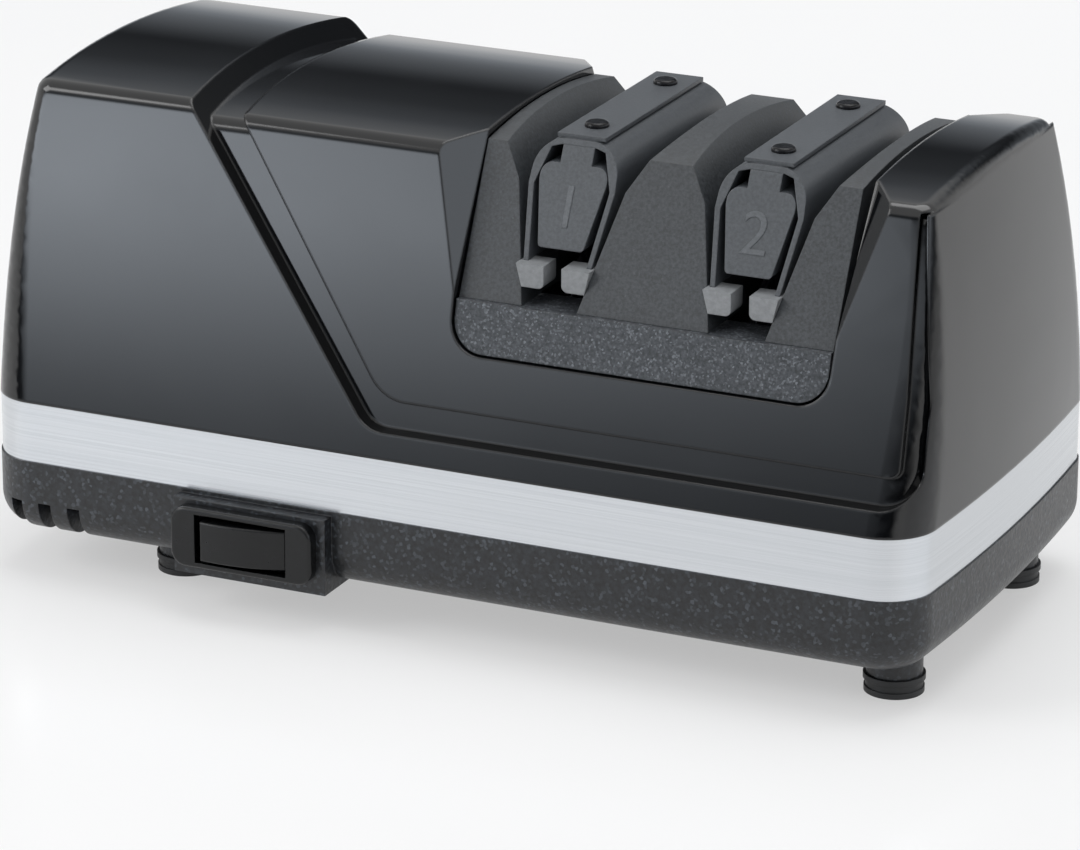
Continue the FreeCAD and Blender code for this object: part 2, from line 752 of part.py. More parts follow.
def make_band():
    """A steel strip bent round the plan."""
    outside = plan_body("band_outside", 0, S.band_low, S.band_high, S.corner_round)
    inside = plan_body("band_inside", S.band_thick, S.band_low - 1, S.band_high + 1,
                       S.corner_round - S.band_thick)
    return finish(cut("band", outside, [inside]), "trim_band")


# The base tray

def make_tray():
    """Tray with collar, rolled lower edge, posts, switch seat, vents, door opening."""
    low, wall = S.foot_high, S.tray_wall
    shell = new_body("tray_shell")
    inset = -S.proud
    pad(shell, "tray_pad", "XY_Plane", plan_points(inset), low, S.band_low, plan_arcs(inset))
    soften(shell, "tray_corners", S.corner_round + S.proud,
           lambda edge, middle, span: span.ZLength > 1 and abs(middle.y) > 20)
    soften(shell, "tray_roll", S.tray_round,
           lambda edge, middle, span: span.ZMax < S.foot_high.value + 1e-3)
    step = S.band_thick + S.band_fit
    collar = plan_body("collar", step, S.band_low, S.band_high, S.corner_round - step)
    inner = step + S.collar_wall
    well = plan_body("well", inner, low + wall + S.tray_round / 2, S.band_high + 1,
                     S.corner_round - inner)
    sunk = S.tray_round / 2 + wall
    pit = plan_body("pit", sunk, low + wall, low + wall + S.tray_round / 2, S.corner_round - 2)
    posts = [
        cylinder(f"post_{index}", "z", S.rubber_high, low + wall - S.rubber_high,
                 S.post_radius, x=x, y=y)
        for index, (x, y) in enumerate(foot_places())]
    face = half_width + S.proud
    seat = box("switch_seat", (S.seat_left, S.seat_right), (-(face + S.seat_out), -(face - wall)),
               (S.seat_low, S.seat_high))
    seat_web = box("switch_seat_web", (S.seat_left, S.seat_right), (-(face - wall), -(face - 9)),
                   (S.seat_low, low + wall))
    solid = fuse("tray_solid", [shell, collar])
    hollowed = cut("tray_hollow", solid, [well, pit])
    screw_posts = [
        cylinder(f"screw_post_{index}", "z", low + wall / 2, S.boss_low - low - wall / 2 - S.hole_fit,
                 S.tray_boss_radius, x=x, y=y)
        for index, (x, y) in enumerate(corner_places(half_length - S.boss_place, half_width - S.boss_back))]
    built = fuse("tray_built", [hollowed, seat, seat_web] + posts + screw_posts)
    half, tall = S.rocker_half + S.rocker_gap, S.rocker_tall + S.rocker_gap
    window = box("switch_window", (S.bezel_middle - half, S.bezel_middle + half),
                 (-(face + S.seat_out + 1), -(face - 12)),
                 (S.switch_high - tall, S.switch_high + tall))
    door = door_prism("door_opening", 0, low - 1, low + wall + 1)
    gland_hole = cylinder("gland_hole", "y", face - 12, 20, S.gland_neck,
                          x=S.gland_place - half_length, z=S.gland_high)
    tools = [window, door, gland_hole] + vent_tools() + case_screw_holes()
    return finish(cut("tray", built, tools), "base_tray")


def foot_places():
    """Centres of the four feet."""
    left = S.foot_left - half_length
    right = half_length - S.foot_right
    back = half_width - S.foot_back
    return [(left, -back), (right, -back), (right, back), (left, back)]


def vent_tools():
    """Three slots through the tray's rolled edge, at the motor's end, front and back."""
    tools = []
    for side in (-1, 1):
        for index in range(3):
            start = S.vent_first - half_length + S.vent_pitch * index
            reach = half_width + 2
            inner = half_width - 15
            depth = (-reach, -inner) if side < 0 else (inner, reach)
            tools.append(box(f"vent_{side}_{index}", (start, start + S.vent_wide), depth,
                             (S.foot_high - 1, S.vent_top)))
    return tools


def case_screw_holes():
    """Counterbored holes under the housing's bosses."""
    holes = []
    for index, (x, y) in enumerate(corner_places(half_length - S.boss_place, half_width - S.boss_back)):
        holes.append(cylinder(f"case_hole_{index}", "z", S.foot_high - 1, S.boss_low - S.foot_high + 2,
                              S.case_screw_shank + S.hole_fit, x=x, y=y))
        holes.append(cylinder(f"case_counterbore_{index}", "z", S.foot_high - 1,
                              1 + S.case_head_sunk + S.case_head_high,
                              S.case_screw_head + S.hole_fit, x=x, y=y))
    return holes


def door_prism(name, gap, low, high):
    """The clean-out opening's outline, drawn in by a gap."""
    body = new_body(name)
    pad(body, name + "_pad", "XY_Plane",
        rectangle((S.door_left + gap, S.door_right - gap),
                  (-(S.door_half - gap), S.door_half - gap)), low, high)
    soften(body, name + "_corners", S.door_round, lambda edge, middle, span: span.ZLength > 1)
    return body


def make_feet():
    """Rubber caps under the four posts."""
    names = ["front_left", "front_right", "rear_right", "rear_left"]
    for name, (x, y) in zip(names, foot_places()):
        cap = cylinder(f"cap_{name}", "z", 0, S.rubber_high, S.rubber_radius - S.rubber_lip, x=x, y=y)
        lip = cylinder(f"lip_{name}", "z", S.rubber_high - S.lip_high, S.lip_high,
                       S.rubber_radius, x=x, y=y)
        ring = cylinder(f"ring_{name}", "z", 0, S.lip_high, S.rubber_radius - 0.2, x=x, y=y)
        finish(fuse(f"foot_{name}", [cap, lip, ring]), f"rubber_foot_{name}")


# The switch

def make_switch():
    """Bezel with rounded corners, rocker tilted as it stands, and the body behind."""
    face = half_width + S.proud + S.seat_out
    out = face + S.bezel_thick
    middle, high = S.bezel_middle, S.switch_high
    bezel = new_body("bezel_body")
    pad(bezel, "bezel_pad", "XZ_Plane",
        rectangle((middle - S.bezel_half, middle + S.bezel_half),
                  (high - S.bezel_tall, high + S.bezel_tall)), -out, -face)
    soften(bezel, "bezel_corners", S.bezel_round,
           lambda edge, spot, span: span.YLength > 1)
    soften(bezel, "bezel_edge", S.bezel_thick / 4,
           lambda edge, spot, span: near(span.YMin, -out.value) and near(span.YMax, -out.value))
    half, tall = S.rocker_half + S.rocker_gap, S.rocker_tall + S.rocker_gap
    pocket(bezel, "bezel_window", "XZ_Plane",
           rectangle((middle - half, middle + half), (high - tall, high + tall)), -(out + 1), -face)
    finish(bezel, "switch_bezel")
    rocker = new_body("rocker_body")
    axis_y = out - S.rocker_deep
    front = S.rocker_deep
    pad(rocker, "rocker_pad", "XY_Plane",
        [(-S.rocker_half, -front), (S.rocker_half, -front),
         (S.rocker_half - 1.5, 2), (-S.rocker_half + 1.5, 2)],
        -S.rocker_tall, S.rocker_tall, {0: (S.rocker_rise, S.rocker_half * 2)})
    soften(rocker, "rocker_edges", 0.5,
           lambda edge, spot, span: spot.y < -S.rocker_deep.value + 1.6)
    finish(rocker, "switch_rocker")
    rocker.Placement = FreeCAD.Placement(Vector(), FreeCAD.Rotation(Vector(0, 0, 1), 0))
    bind(rocker, "Placement.Rotation.Angle", S.rocker_tilt)
    place(rocker, middle, -axis_y, high)
    front = half_width - S.cradle_back
    back = front - S.switch_long
    half, tall = half - S.cradle_gap, tall - S.cradle_gap
    body = box("switch_box", (middle - half, middle + half), (-front, -back),
               (high - tall, high + tall))
    pins = [
        box(f"switch_pin_{index}", (middle + shift, middle + shift + 0.8), (-back, -(back - 7)),
            (high - 2.4, high + 2.4))
        for index, shift in enumerate((-7, 0, 7))]
    finish(fuse("switch_inside", [body] + pins), "switch_body")


# The guide base and towers

def make_guide_base():
    """The coarse-grained ledge that fills the foot of the opening."""
    gap = S.module_fit
    low = S.opening_low + gap
    left, right = S.opening_left + gap, S.opening_right - gap
    body = new_body("guide_base_body")
    foot = face_depth(low, S.module_set)
    head = face_depth(S.seam_high, S.module_set)
    pad(body, "guide_base_pad", "YZ_Plane",
        [(-foot, low), (foot, low), (head, S.seam_high), (-head, S.seam_high)], left, right)
    soften(body, "guide_base_corners", S.opening_round - gap,
           lambda edge, middle, span: near(middle.z, low.value) and span.YLength > 20)
    for index in range(2):
        centre = S.stage_middle + S.stage_pitch * index
        half = S.disc_outer + 5
        pocket(body, f"disc_window_{index}", "XY_Plane",
               rectangle((centre - half, centre + half),
                         (-(S.disc_radius + 4), S.disc_radius + 4)), low - 1, S.seam_high + 1)
    return finish(body, "guide_base")


def tower(name, left_points, right_points, discs):
    """One tower: leaning front and back, vaulted head, slot walls at its sides."""
    body = new_body(name + "_body")
    low = S.seam_high
    pad(body, name + "_side", "YZ_Plane",
        [(-S.tower_foot, low), (S.tower_foot, low),
         (S.tower_head, S.tower_high), (-S.tower_head, S.tower_high)],
        left_points[0][0], right_points[0][0], {2: (S.tower_rise, S.tower_head * 2)})
    for side, points in (("left", left_points), ("right", right_points)):
        if len(points) > 1:
            pocket(body, f"{name}_{side}", "XZ_Plane", points,
                   -(S.tower_foot + 2), S.tower_foot + 2)
    for index, (centre, side) in enumerate(discs):
        reach = centre + (S.disc_outer + S.disc_relief) * side
        across = (centre, reach) if side > 0 else (reach, centre)
        half = S.disc_small + S.disc_relief - 2
        pocket(body, f"{name}_relief_{index}", "XY_Plane", rectangle(across, (-half, half)),
               low - 1, S.shaft_high + S.disc_small + S.disc_relief)
    return finish(body, name)


def slot_wall(centre, side):
    """The wedge that a slot takes from the tower beside it."""
    foot = centre + S.slot_foot * side
    waist = centre + S.slot_waist * side
    grow = (S.slot_mouth - S.slot_waist) / (S.tower_high - S.waist_high)
    above = S.tower_high + S.tower_rise + 3
    mouth = centre + (S.slot_mouth + grow * (above - S.tower_high)) * side
    return [(foot, S.seam_high), (waist, S.waist_high), (mouth, above), (foot, above)]


def make_towers():
    """Three towers with the two blade slots between them."""
    gap = S.module_fit
    left = S.opening_left + gap
    right = S.opening_right - gap
    first = S.stage_middle
    second = S.stage_middle + S.stage_pitch
    tower("guide_tower_left", [(left, 0)], slot_wall(first, -1), [(first, -1)])
    tower("guide_tower_middle", slot_wall(first, 1), slot_wall(second, -1),
          [(first, 1), (second, -1)])
    tower("guide_tower_right", slot_wall(second, 1), [(right, 0)], [(second, 1)])


# The spring guides, number blocks and blade stops of the two stages

def stage_side_cut(name, body, inward):
    """Slope both ends of a stage piece like the towers' fronts."""
    slope = (S.tower_foot - S.tower_head) / (S.tower_high - S.seam_high)
    high = S.plate_high + 2
    low = S.pad_low - 3
    head = S.tower_head - slope * (high - S.tower_high) - inward
    foot = S.tower_foot - slope * (low - S.seam_high) - inward
    reach = S.tower_foot + 4
    span = S.slot_mouth
    for side in (-1, 1):
        points = [(foot * side, low), (reach * side, low), (reach * side, high), (head * side, high)]
        pocket(body, f"{name}_{'front' if side < 0 else 'rear'}", "YZ_Plane", points,
               body_centre[name] - span, body_centre[name] + span)


body_centre = {}


def make_stage(number, centre):
    """Spring guide, number block and stops of one stage."""
    spring = f"stage_{number}_spring_guide"
    block = f"stage_{number}_number_block"
    body_centre[spring] = body_centre[block] = centre
    reach = S.tower_foot
    top = S.plate_high - S.strip_rise
    guide = new_body(spring + "_body")
    pad(guide, spring + "_outside", "XZ_Plane", [
        (centre - S.guide_foot, S.guide_low), (centre + S.guide_foot, S.guide_low),
        (centre + S.guide_half, S.guide_shoulder), (centre + S.guide_half - 0.6, top),
        (centre - S.guide_half + 0.6, top), (centre - S.guide_half, S.guide_shoulder)],
        -reach, reach)
    soften(guide, spring + "_shoulders", S.guide_round,
           lambda edge, middle, span: span.YLength > 20 and near(middle.z, top.value))
    wall = S.leaf
    inner = [
        (centre - S.guide_foot + wall, S.guide_low - 1), (centre + S.guide_foot - wall, S.guide_low - 1),
        (centre + S.guide_half - wall, S.guide_shoulder), (centre + S.guide_half - 2.6 - wall, top - 1.9),
        (centre + S.guide_half - 4.9 - wall, top - wall),
        (centre - S.guide_half + 4.9 + wall, top - wall),
        (centre - S.guide_half + 2.6 + wall, top - 1.9),
        (centre - S.guide_half + wall, S.guide_shoulder)]
    pocket(guide, spring + "_inside", "XZ_Plane", inner, -(reach + 1), reach + 1)
    stage_side_cut(spring, guide, as_size(0))
    strip = box(spring + "_strip", (centre - S.neck_half - 2, centre + S.neck_half + 2),
                (-(S.tower_head - 1.6), S.tower_head - 1.6), (top, S.plate_high))
    shanks = [
        cylinder(f"{spring}_hole_{index}", "z", top - 6, 12, S.guide_screw_shank + 0.1, x=centre, y=y)
        for index, y in enumerate((-S.guide_screw_span, S.guide_screw_span))]
    joined = fuse(spring + "_joined", [guide, strip])
    finish(cut(spring + "_cut", joined, shanks), spring)
    make_number_block(block, centre, top - wall)
    make_stops(number, centre)


def make_number_block(block, centre, top):
    """The block that carries the stage's number at both ends."""
    body = new_body(block + "_body")
    reach = S.tower_foot
    pad(body, block + "_pad", "XZ_Plane", [
        (centre - S.block_foot, S.block_low), (centre + S.block_foot, S.block_low),
        (centre + S.block_half, S.block_waist), (centre + S.block_half, S.block_top),
        (centre + S.neck_half, S.block_top), (centre + S.neck_half, top),
        (centre - S.neck_half, top), (centre - S.neck_half, S.block_top),
        (centre - S.block_half, S.block_top), (centre - S.block_half, S.block_waist)],
        -reach, reach)
    soften(body, block + "_shoulders", S.block_round,
           lambda edge, middle, span: span.YLength > 20 and near(middle.z, S.block_top.value)
           and near(abs(middle.x - centre.value), S.block_half.value))
    soften(body, block + "_foot", 0.9,
           lambda edge, middle, span: span.YLength > 20 and near(middle.z, S.block_low.value))
    stage_side_cut(block, body, as_size(0))
    holes = [
        cylinder(f"{block}_hole_{index}", "z", top - S.guide_screw_long, 20,
                 S.guide_screw_shank, x=centre, y=y)
        for index, y in enumerate((-S.guide_screw_span, S.guide_screw_span))]
    finish(cut(block + "_cut", body, holes), block)


def make_stops(number, centre):
    """Light blade stops between the tower walls and under the guide's feet."""
    slope = (S.tower_foot - S.tower_head) / (S.tower_high - S.seam_high)
    grow = (S.slot_waist - S.slot_foot) / (S.waist_high - S.seam_high)
    high = S.guide_low
    for end in (-1, 1):
        pads = []
        for side in (-1, 1):
            name = f"stop_{number}_{end}_{side}".replace("-1", "a")
            body = new_body(name)
            wide_low = S.slot_foot + grow * (S.pad_low - S.seam_high)
            wide_high = S.slot_foot + grow * (high - S.seam_high)
            back = S.tower_foot - slope * (high - S.seam_high) - S.pad_thick
            front = S.tower_foot - slope * (S.pad_low - S.seam_high)
            limits = (-front, -back) if end < 0 else (back, front)
            pad(body, name + "_pad", "XZ_Plane", [
                (centre + S.pad_inner * side, S.pad_low), (centre + wide_low * side, S.pad_low),
                (centre + wide_high * side, high), (centre + S.pad_inner * side, high)],
                limits[0], limits[1])
            soften(body, name + "_corner", S.pad_round, edge_at(centre + S.pad_inner * side, S.pad_low))
            pads.append(body)
        where = "front" if end < 0 else "rear"
        finish(fuse(f"stops_{number}_{where}", pads), f"stage_{number}_blade_stops_{where}")


def make_guide_screws():
    """Four domed screws that hold the guides to the number blocks."""
    screws = []
    for index in range(2):
        centre = S.stage_middle + S.stage_pitch * index
        for y in (-S.guide_screw_span, S.guide_screw_span):
            tag = f"guide_screw_{len(screws)}"
            head = cylinder(tag + "_head", "z", S.plate_high, S.guide_screw_rise,
                            S.guide_screw_head, x=centre, y=y)
            dome = doc.addObject("Part::Fillet", tag + "_dome")
            dome.Base = head
            doc.recompute()
            radius = S.guide_screw_rise.value * 0.75
            dome.Edges = [
                (number, radius, radius)
                for number, edge in enumerate(head.Shape.Edges, start=1)
                if near(edge.BoundBox.ZMin, (S.plate_high + S.guide_screw_rise).value)]
            shank = cylinder(tag + "_shank", "z", S.plate_high - S.guide_screw_long + 1,
                             S.guide_screw_long - 1, S.guide_screw_shank, x=centre, y=y)
            screws.append(fuse(tag, [dome, shank]))
    finish(fuse("guide_screw_set", screws), "guide_screws")


# The drive: shaft, discs, springs, collars, bushes and brackets

def make_shaft():
    """One long shaft through the motor and both stages."""
    left = S.shaft_left - half_length
    shaft = cylinder("shaft_bar", "x", left, half_length - S.shaft_right - left,
                     S.shaft_radius, z=S.shaft_high)
    finish(shaft, "drive_shaft")


def make_discs():
    """Two conical discs per stage, with a spring between and collars outside."""
    collars = []
    for stage in range(2):
        centre = S.stage_middle + S.stage_pitch * stage
        for side in (-1, 1):
            number = stage * 2 + (1 if side < 0 else 2)
            make_disc(number, centre, side)
            near_face = centre + (S.disc_outer + S.collar_gap) * side
            start = near_face if side > 0 else near_face - S.collar_long
            ring = cylinder(f"collar_{number}", "x", start, S.collar_long, S.collar_radius,
                            z=S.shaft_high)
            bore = cylinder(f"collar_bore_{number}", "x", start - 1, S.collar_long + 2,
                            S.shaft_radius, z=S.shaft_high)
            collars.append(cut(f"collar_cut_{number}", ring, [bore]))
        make_spring(stage + 1, centre)
    finish(fuse("collar_set", collars), "stop_collars")


def make_disc(number, centre, side):
    """A dished disc: steep abrasive cone, thin web, hub with a running bore."""
    long = S.disc_outer - S.disc_inner
    start = centre + (S.disc_inner if side > 0 else -S.disc_outer)
    radii = (S.disc_radius, S.disc_small) if side > 0 else (S.disc_small, S.disc_radius)
    outside = cone(f"disc_cone_{number}", start, long, radii[0], radii[1], z=S.shaft_high)
    inner_start = centre + (S.disc_inner - 1 if side > 0 else -(S.disc_outer - 1.6))
    inner_long = long - 0.6
    inner_radii = (S.disc_radius - 1.5, S.disc_small - 1.5)
    if side < 0:
        inner_radii = inner_radii[::-1]
    dish = cone(f"disc_dish_{number}", inner_start, inner_long, inner_radii[0], inner_radii[1],
                z=S.shaft_high)
    hub = cylinder(f"disc_hub_{number}", "x", start, long, S.disc_hub, z=S.shaft_high)
    bore = cylinder(f"disc_bore_{number}", "x", start - 1, long + 2,
                    S.shaft_radius + S.slide_gap, z=S.shaft_high)
    dished = cut(f"disc_dished_{number}", outside, [dish])
    joined = fuse(f"disc_joined_{number}", [dished, hub])
    finish(cut(f"disc_{number}", joined, [bore]), f"abrasive_disc_{number}")


def make_spring(number, centre):
    """A small compression spring round the shaft between two discs."""
    gap = 0.3
    long = S.disc_inner * 2 - gap * 2 - S.spring_wire
    start = centre - S.disc_inner + gap + S.spring_wire / 2
    helix = doc.addObject("Part::Helix", f"spring_path_{number}")
    bind(helix, "Radius", S.spring_radius)
    bind(helix, "Height", long)
    bind(helix, "Pitch", long / 3)
    helix.Placement = FreeCAD.Placement(Vector(), TURNS["x"])
    place(helix, start, 0, S.shaft_high)
    circle = doc.addObject("Part::Circle", f"spring_wire_{number}")
    bind(circle, "Radius", S.spring_wire / 2)
    circle.Placement = FreeCAD.Placement(Vector(), FreeCAD.Rotation(Vector(1, 0, 0), 90))
    place(circle, start, 0, S.shaft_high - S.spring_radius)
    sweep = doc.addObject("Part::Sweep", f"spring_sweep_{number}")
    sweep.Sections = [circle]
    sweep.Spine = (helix, ["Edge1"])
    sweep.Solid = True
    sweep.Frenet = True
    finish(sweep, f"disc_spring_{number}")


def bracket(name, middle):
    """A folded plate that carries a bush on the tray's floor."""
    thick = S.bracket_thick
    floor = S.foot_high + S.tray_wall
    start = middle - thick / 2
    body = new_body(name + "_plate")
    top = S.shaft_high + S.bracket_over
    pad(body, name + "_face", "YZ_Plane", [
        (-S.bracket_half, floor), (S.bracket_half, floor),
        (S.bracket_head, top), (-S.bracket_head, top)], start, start + thick)
    soften(body, name + "_crown", S.bracket_head / 2,
           lambda edge, spot, span: near(spot.z, top.value) and span.XLength > 1)
    foot = box(name + "_foot", (start, start + thick * 3), (-S.bracket_half, S.bracket_half),
               (floor, floor + thick))
    bore = cylinder(name + "_bore", "x", start - 5, 20, S.bush_radius, z=S.shaft_high)
    joined = fuse(name + "_joined", [body, foot])
    finish(cut(name + "_cut", joined, [bore]), name)


def bush(name, middle):
    """A flanged sintered bush."""
    start = middle - S.bush_long / 2
    sleeve = cylinder(name + "_sleeve", "x", start, S.bush_long, S.bush_radius, z=S.shaft_high)
    bore = cylinder(name + "_bore", "x", start - 1, S.bush_long + 2,
                    S.shaft_radius + S.bush_fit, z=S.shaft_high)
    return finish(cut(name + "_cut", sleeve, [bore]), name)


def make_brackets():
    """Two motor brackets and the end bracket, each with its bush."""
    for name, middle in (("motor_bracket_left", S.left_bracket - half_length),
                         ("motor_bracket_right", S.right_bracket - half_length),
                         ("end_bracket", half_length - S.end_bracket)):
        bracket(name, middle)
        bush(name.replace("bracket", "bush"), middle)


# The motor

def make_motor():
    """Laminated iron with two windings, rotor, commutator, brushes and fan."""
    start = S.stator_middle - half_length - S.stator_long / 2
    high = S.shaft_high
    iron = box("stator_block", (start, start + S.stator_long), (-S.stator_half, S.stator_half),
               (high - S.stator_tall, high + S.stator_tall))
    bore = cylinder("stator_bore_bar", "x", start - 1, S.stator_long + 2, S.stator_bore, z=high)
    slots = []
    for side in (-1, 1):
        inner = (S.stator_half - S.coil_edge - S.coil_wide) * side
        outer = (S.stator_half - S.coil_edge) * side
        limits = (inner, outer) if side > 0 else (outer, inner)
        slots.append(box(f"winding_slot_{side}", (start - 1, start + S.stator_long + 1), limits,
                         (high - S.coil_tall - S.coil_fit, high + S.coil_tall + S.coil_fit)))
    finish(cut("stator", iron, [bore] + slots), "motor_stator")
    for side, name in ((-1, "front"), (1, "rear")):
        inner = (S.stator_half - S.coil_edge - S.coil_wide) * side
        outer = (S.stator_half - S.coil_edge) * side
        limits = (inner, outer) if side > 0 else (outer, inner)
        loop = box(f"winding_{name}_loop",
                   (start - S.coil_build, start + S.stator_long + S.coil_build), limits,
                   (high - S.coil_tall, high + S.coil_tall))
        finish(loop, f"field_winding_{name}")
    rotor = cylinder("rotor_bar", "x", start, S.stator_long, S.stator_bore - S.air_gap, z=high)
    rotor_hole = cylinder("rotor_hole", "x", start - 1, S.stator_long + 2, S.shaft_radius, z=high)
    finish(cut("rotor", rotor, [rotor_hole]), "rotor_core")
    ring_start = start + S.stator_long + S.coil_build - 5
    ring = cylinder("commutator_bar", "x", ring_start, S.commutator_long, S.commutator_radius, z=high)
    ring_hole = cylinder("commutator_hole", "x", ring_start - 1, S.commutator_long + 2,
                         S.shaft_radius, z=high)
    finish(cut("commutator_cut", ring, [ring_hole]), "commutator")
    make_brushes(ring_start)
    make_fan()


def make_brushes(ring_start):
    """Two brush holders that end just off the commutator."""
    holders = []
    middle = ring_start + S.commutator_long / 2
    half = S.brush_side / 2
    for side in (-1, 1):
        inner = (S.commutator_radius + 0.3) * side
        outer = (S.commutator_radius + 0.3 + S.brush_long) * side
        limits = (inner, outer) if side > 0 else (outer, inner)
        holders.append(box(f"brush_{side}", (middle - half, middle + half), (-half, half),
                           (S.shaft_high + limits[0], S.shaft_high + limits[1])))
    finish(fuse("brush_set", holders), "carbon_brushes")


def make_fan():
    """A radial fan left of the motor: back plate, hub and straight blades."""
    left = S.left_bracket - half_length - S.bush_long / 2 - 1 - S.fan_long
    root = S.fan_hub - 1
    hub = cylinder("fan_hub", "x", left, S.fan_long, S.fan_hub, z=S.shaft_high)
    plate = cylinder("fan_plate", "x", left + S.fan_long - S.fan_blade, S.fan_blade,
                     S.fan_radius, z=S.shaft_high)
    blades = []
    count = int(S.fan_blades.value)
    for index in range(count):
        blade = doc.addObject("Part::Box", f"fan_blade_{index}")
        bind(blade, "Length", S.fan_long)
        bind(blade, "Width", S.fan_blade)
        bind(blade, "Height", S.fan_radius - root - 0.5)
        turn = FreeCAD.Rotation(Vector(1, 0, 0), 360.0 * index / count)
        across = turn.multVec(Vector(0, 1, 0))
        along = turn.multVec(Vector(0, 0, 1))
        blade.Placement = FreeCAD.Placement(Vector(), turn)
        place(blade, left, root * along.y - S.fan_blade * across.y / 2,
              S.shaft_high + root * along.z - S.fan_blade * across.z / 2)
        blades.append(blade)
    bore = cylinder("fan_bore", "x", left - 1, S.fan_long + 2, S.shaft_radius, z=S.shaft_high)
    finish(cut("fan", fuse("fan_joined", [hub, plate] + blades), [bore]), "cooling_fan")


# The clean-out cover, the gland and the case screws

def make_underside():
    """Cover with a finger recess, its magnet, the cord gland and the case screws."""
    low = S.foot_high
    cover = door_prism("cover_plate", S.door_gap, low, low + S.door_thick)
    dip = cylinder("cover_dip", "z", low - 1, 1 + S.grip_deep, S.grip_radius,
                   x=(S.door_left + S.door_right) / 2)
    finish(cut("cover", cover, [dip]), "cleanout_cover")
    middle = (S.door_left + S.door_right) / 2
    magnet = box("magnet_bar", (middle - S.magnet_long / 2, middle + S.magnet_long / 2),
                 (-S.magnet_wide / 2, S.magnet_wide / 2),
                 (low + S.door_thick, low + S.door_thick + S.magnet_high))
    finish(magnet, "shavings_magnet")
    face = half_width + S.proud
    flange = cylinder("gland_flange", "y", face + 0.05, S.gland_out, S.gland_radius,
                      x=S.gland_place - half_length, z=S.gland_high)
    neck = cylinder("gland_neck_bar", "y", face - 9, 9 + S.gland_out, S.gland_neck - 0.1,
                    x=S.gland_place - half_length, z=S.gland_high)
    bore = cylinder("gland_bore_bar", "y", face - 12, 24, S.gland_bore,
                    x=S.gland_place - half_length, z=S.gland_high)
    finish(cut("gland", fuse("gland_joined", [flange, neck]), [bore]), "cord_gland")


def make_case_screws():
    """Four screws up through the tray into the housing's bosses."""
    screws = []
    for index, (x, y) in enumerate(corner_places(half_length - S.boss_place, half_width - S.boss_back)):
        low = S.foot_high + S.case_head_sunk
        head = cylinder(f"case_head_{index}", "z", low, S.case_head_high, S.case_screw_head, x=x, y=y)
        shank = cylinder(f"case_shank_{index}", "z", low, S.case_head_high + S.case_screw_long,
                         S.case_screw_shank, x=x, y=y)
        screws.append(fuse(f"case_screw_{index}", [head, shank]))
    finish(fuse("case_screw_set", screws), "case_screws")


def build():
    """Make every sub-part."""
    make_housing()
    make_band()
    make_tray()
    make_feet()
    make_switch()
    make_guide_base()
    make_towers()
    make_stage(1, S.stage_middle)
    make_stage(2, S.stage_middle + S.stage_pitch)
    make_guide_screws()
    make_shaft()
    make_discs()
    make_brackets()
    make_motor()
    make_underside()
    make_case_screws()
    doc.recompute()


def check_and_write():
    """Stop on any failed object, then write one STEP file per sub-part."""
    failed = [
        thing.Name for thing in doc.Objects
        if "Invalid" in thing.State or "Error" in thing.State]
    if failed:
        raise ValueError("failed: " + ", ".join(failed))
    os.makedirs("parts", exist_ok=True)
    for label, thing in parts.items():
        shape = thing.Shape
        if shape.isNull() or not shape.isValid():
            raise ValueError(label + " has no valid shape")
        print(f"{label:28s} solids {len(shape.Solids)} volume {shape.Volume:10.1f}")
        shape.exportStep(f"parts/{label}.step")


build()
check_and_write()
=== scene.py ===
# %% [markdown]
# # An electric knife sharpener
# The real object is a gloss black moulded housing on a dark textured tray, with a bright
# steel band between them. A grey guide block is set into its top, and a rocker switch
# stands on the tray's front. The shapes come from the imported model, in metres, so this
# file is about finishes, lettering, light and the camera.

# %% Load the frame
import json
import math

import bmesh
import bpy
import numpy as np
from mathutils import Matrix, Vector
from mathutils.bvhtree import BVHTree


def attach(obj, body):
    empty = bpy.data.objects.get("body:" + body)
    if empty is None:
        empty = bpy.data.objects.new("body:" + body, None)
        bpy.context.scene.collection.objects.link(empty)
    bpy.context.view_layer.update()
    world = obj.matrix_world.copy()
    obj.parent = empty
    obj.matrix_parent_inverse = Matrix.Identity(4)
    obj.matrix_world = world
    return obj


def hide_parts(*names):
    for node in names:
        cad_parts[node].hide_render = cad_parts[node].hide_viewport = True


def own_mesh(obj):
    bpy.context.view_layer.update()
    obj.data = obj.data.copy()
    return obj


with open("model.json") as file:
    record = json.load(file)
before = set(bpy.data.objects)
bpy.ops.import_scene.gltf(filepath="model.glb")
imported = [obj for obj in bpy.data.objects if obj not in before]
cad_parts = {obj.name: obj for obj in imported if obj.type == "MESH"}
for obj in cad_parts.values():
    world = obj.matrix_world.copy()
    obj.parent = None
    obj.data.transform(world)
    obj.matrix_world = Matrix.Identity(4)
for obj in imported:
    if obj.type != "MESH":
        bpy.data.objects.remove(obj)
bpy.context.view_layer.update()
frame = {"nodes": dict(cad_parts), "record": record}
MM = 0.001

# %% [markdown]
# ## The camera first
# The photograph was measured before anything was built: the edges of the band, the feet
# and the housing give one camera. A long lens from a little over a metre away keeps the
# verticals nearly parallel, as product photographers do.

# %% Camera
CAMERA_TURN = math.radians(24.65)
CAMERA_LIFT = math.radians(19.53)
CAMERA_ROLL = math.radians(0.21)
CAMERA_FAR = 1.23676
CAMERA_AIM = Vector((0.00011, 0.0, 0.03326))
CAMERA_LENS = 182.34
CAMERA_SENSOR = 36.0
CAMERA_REACH = 20.0


def look_from(turn, lift, far, aim):
    """A point at a distance from the aim, turned about +Z and lifted from the floor."""
    level = math.cos(lift)
    away = Vector((math.sin(turn) * level, -math.cos(turn) * level, math.sin(lift)))
    return aim + away * far


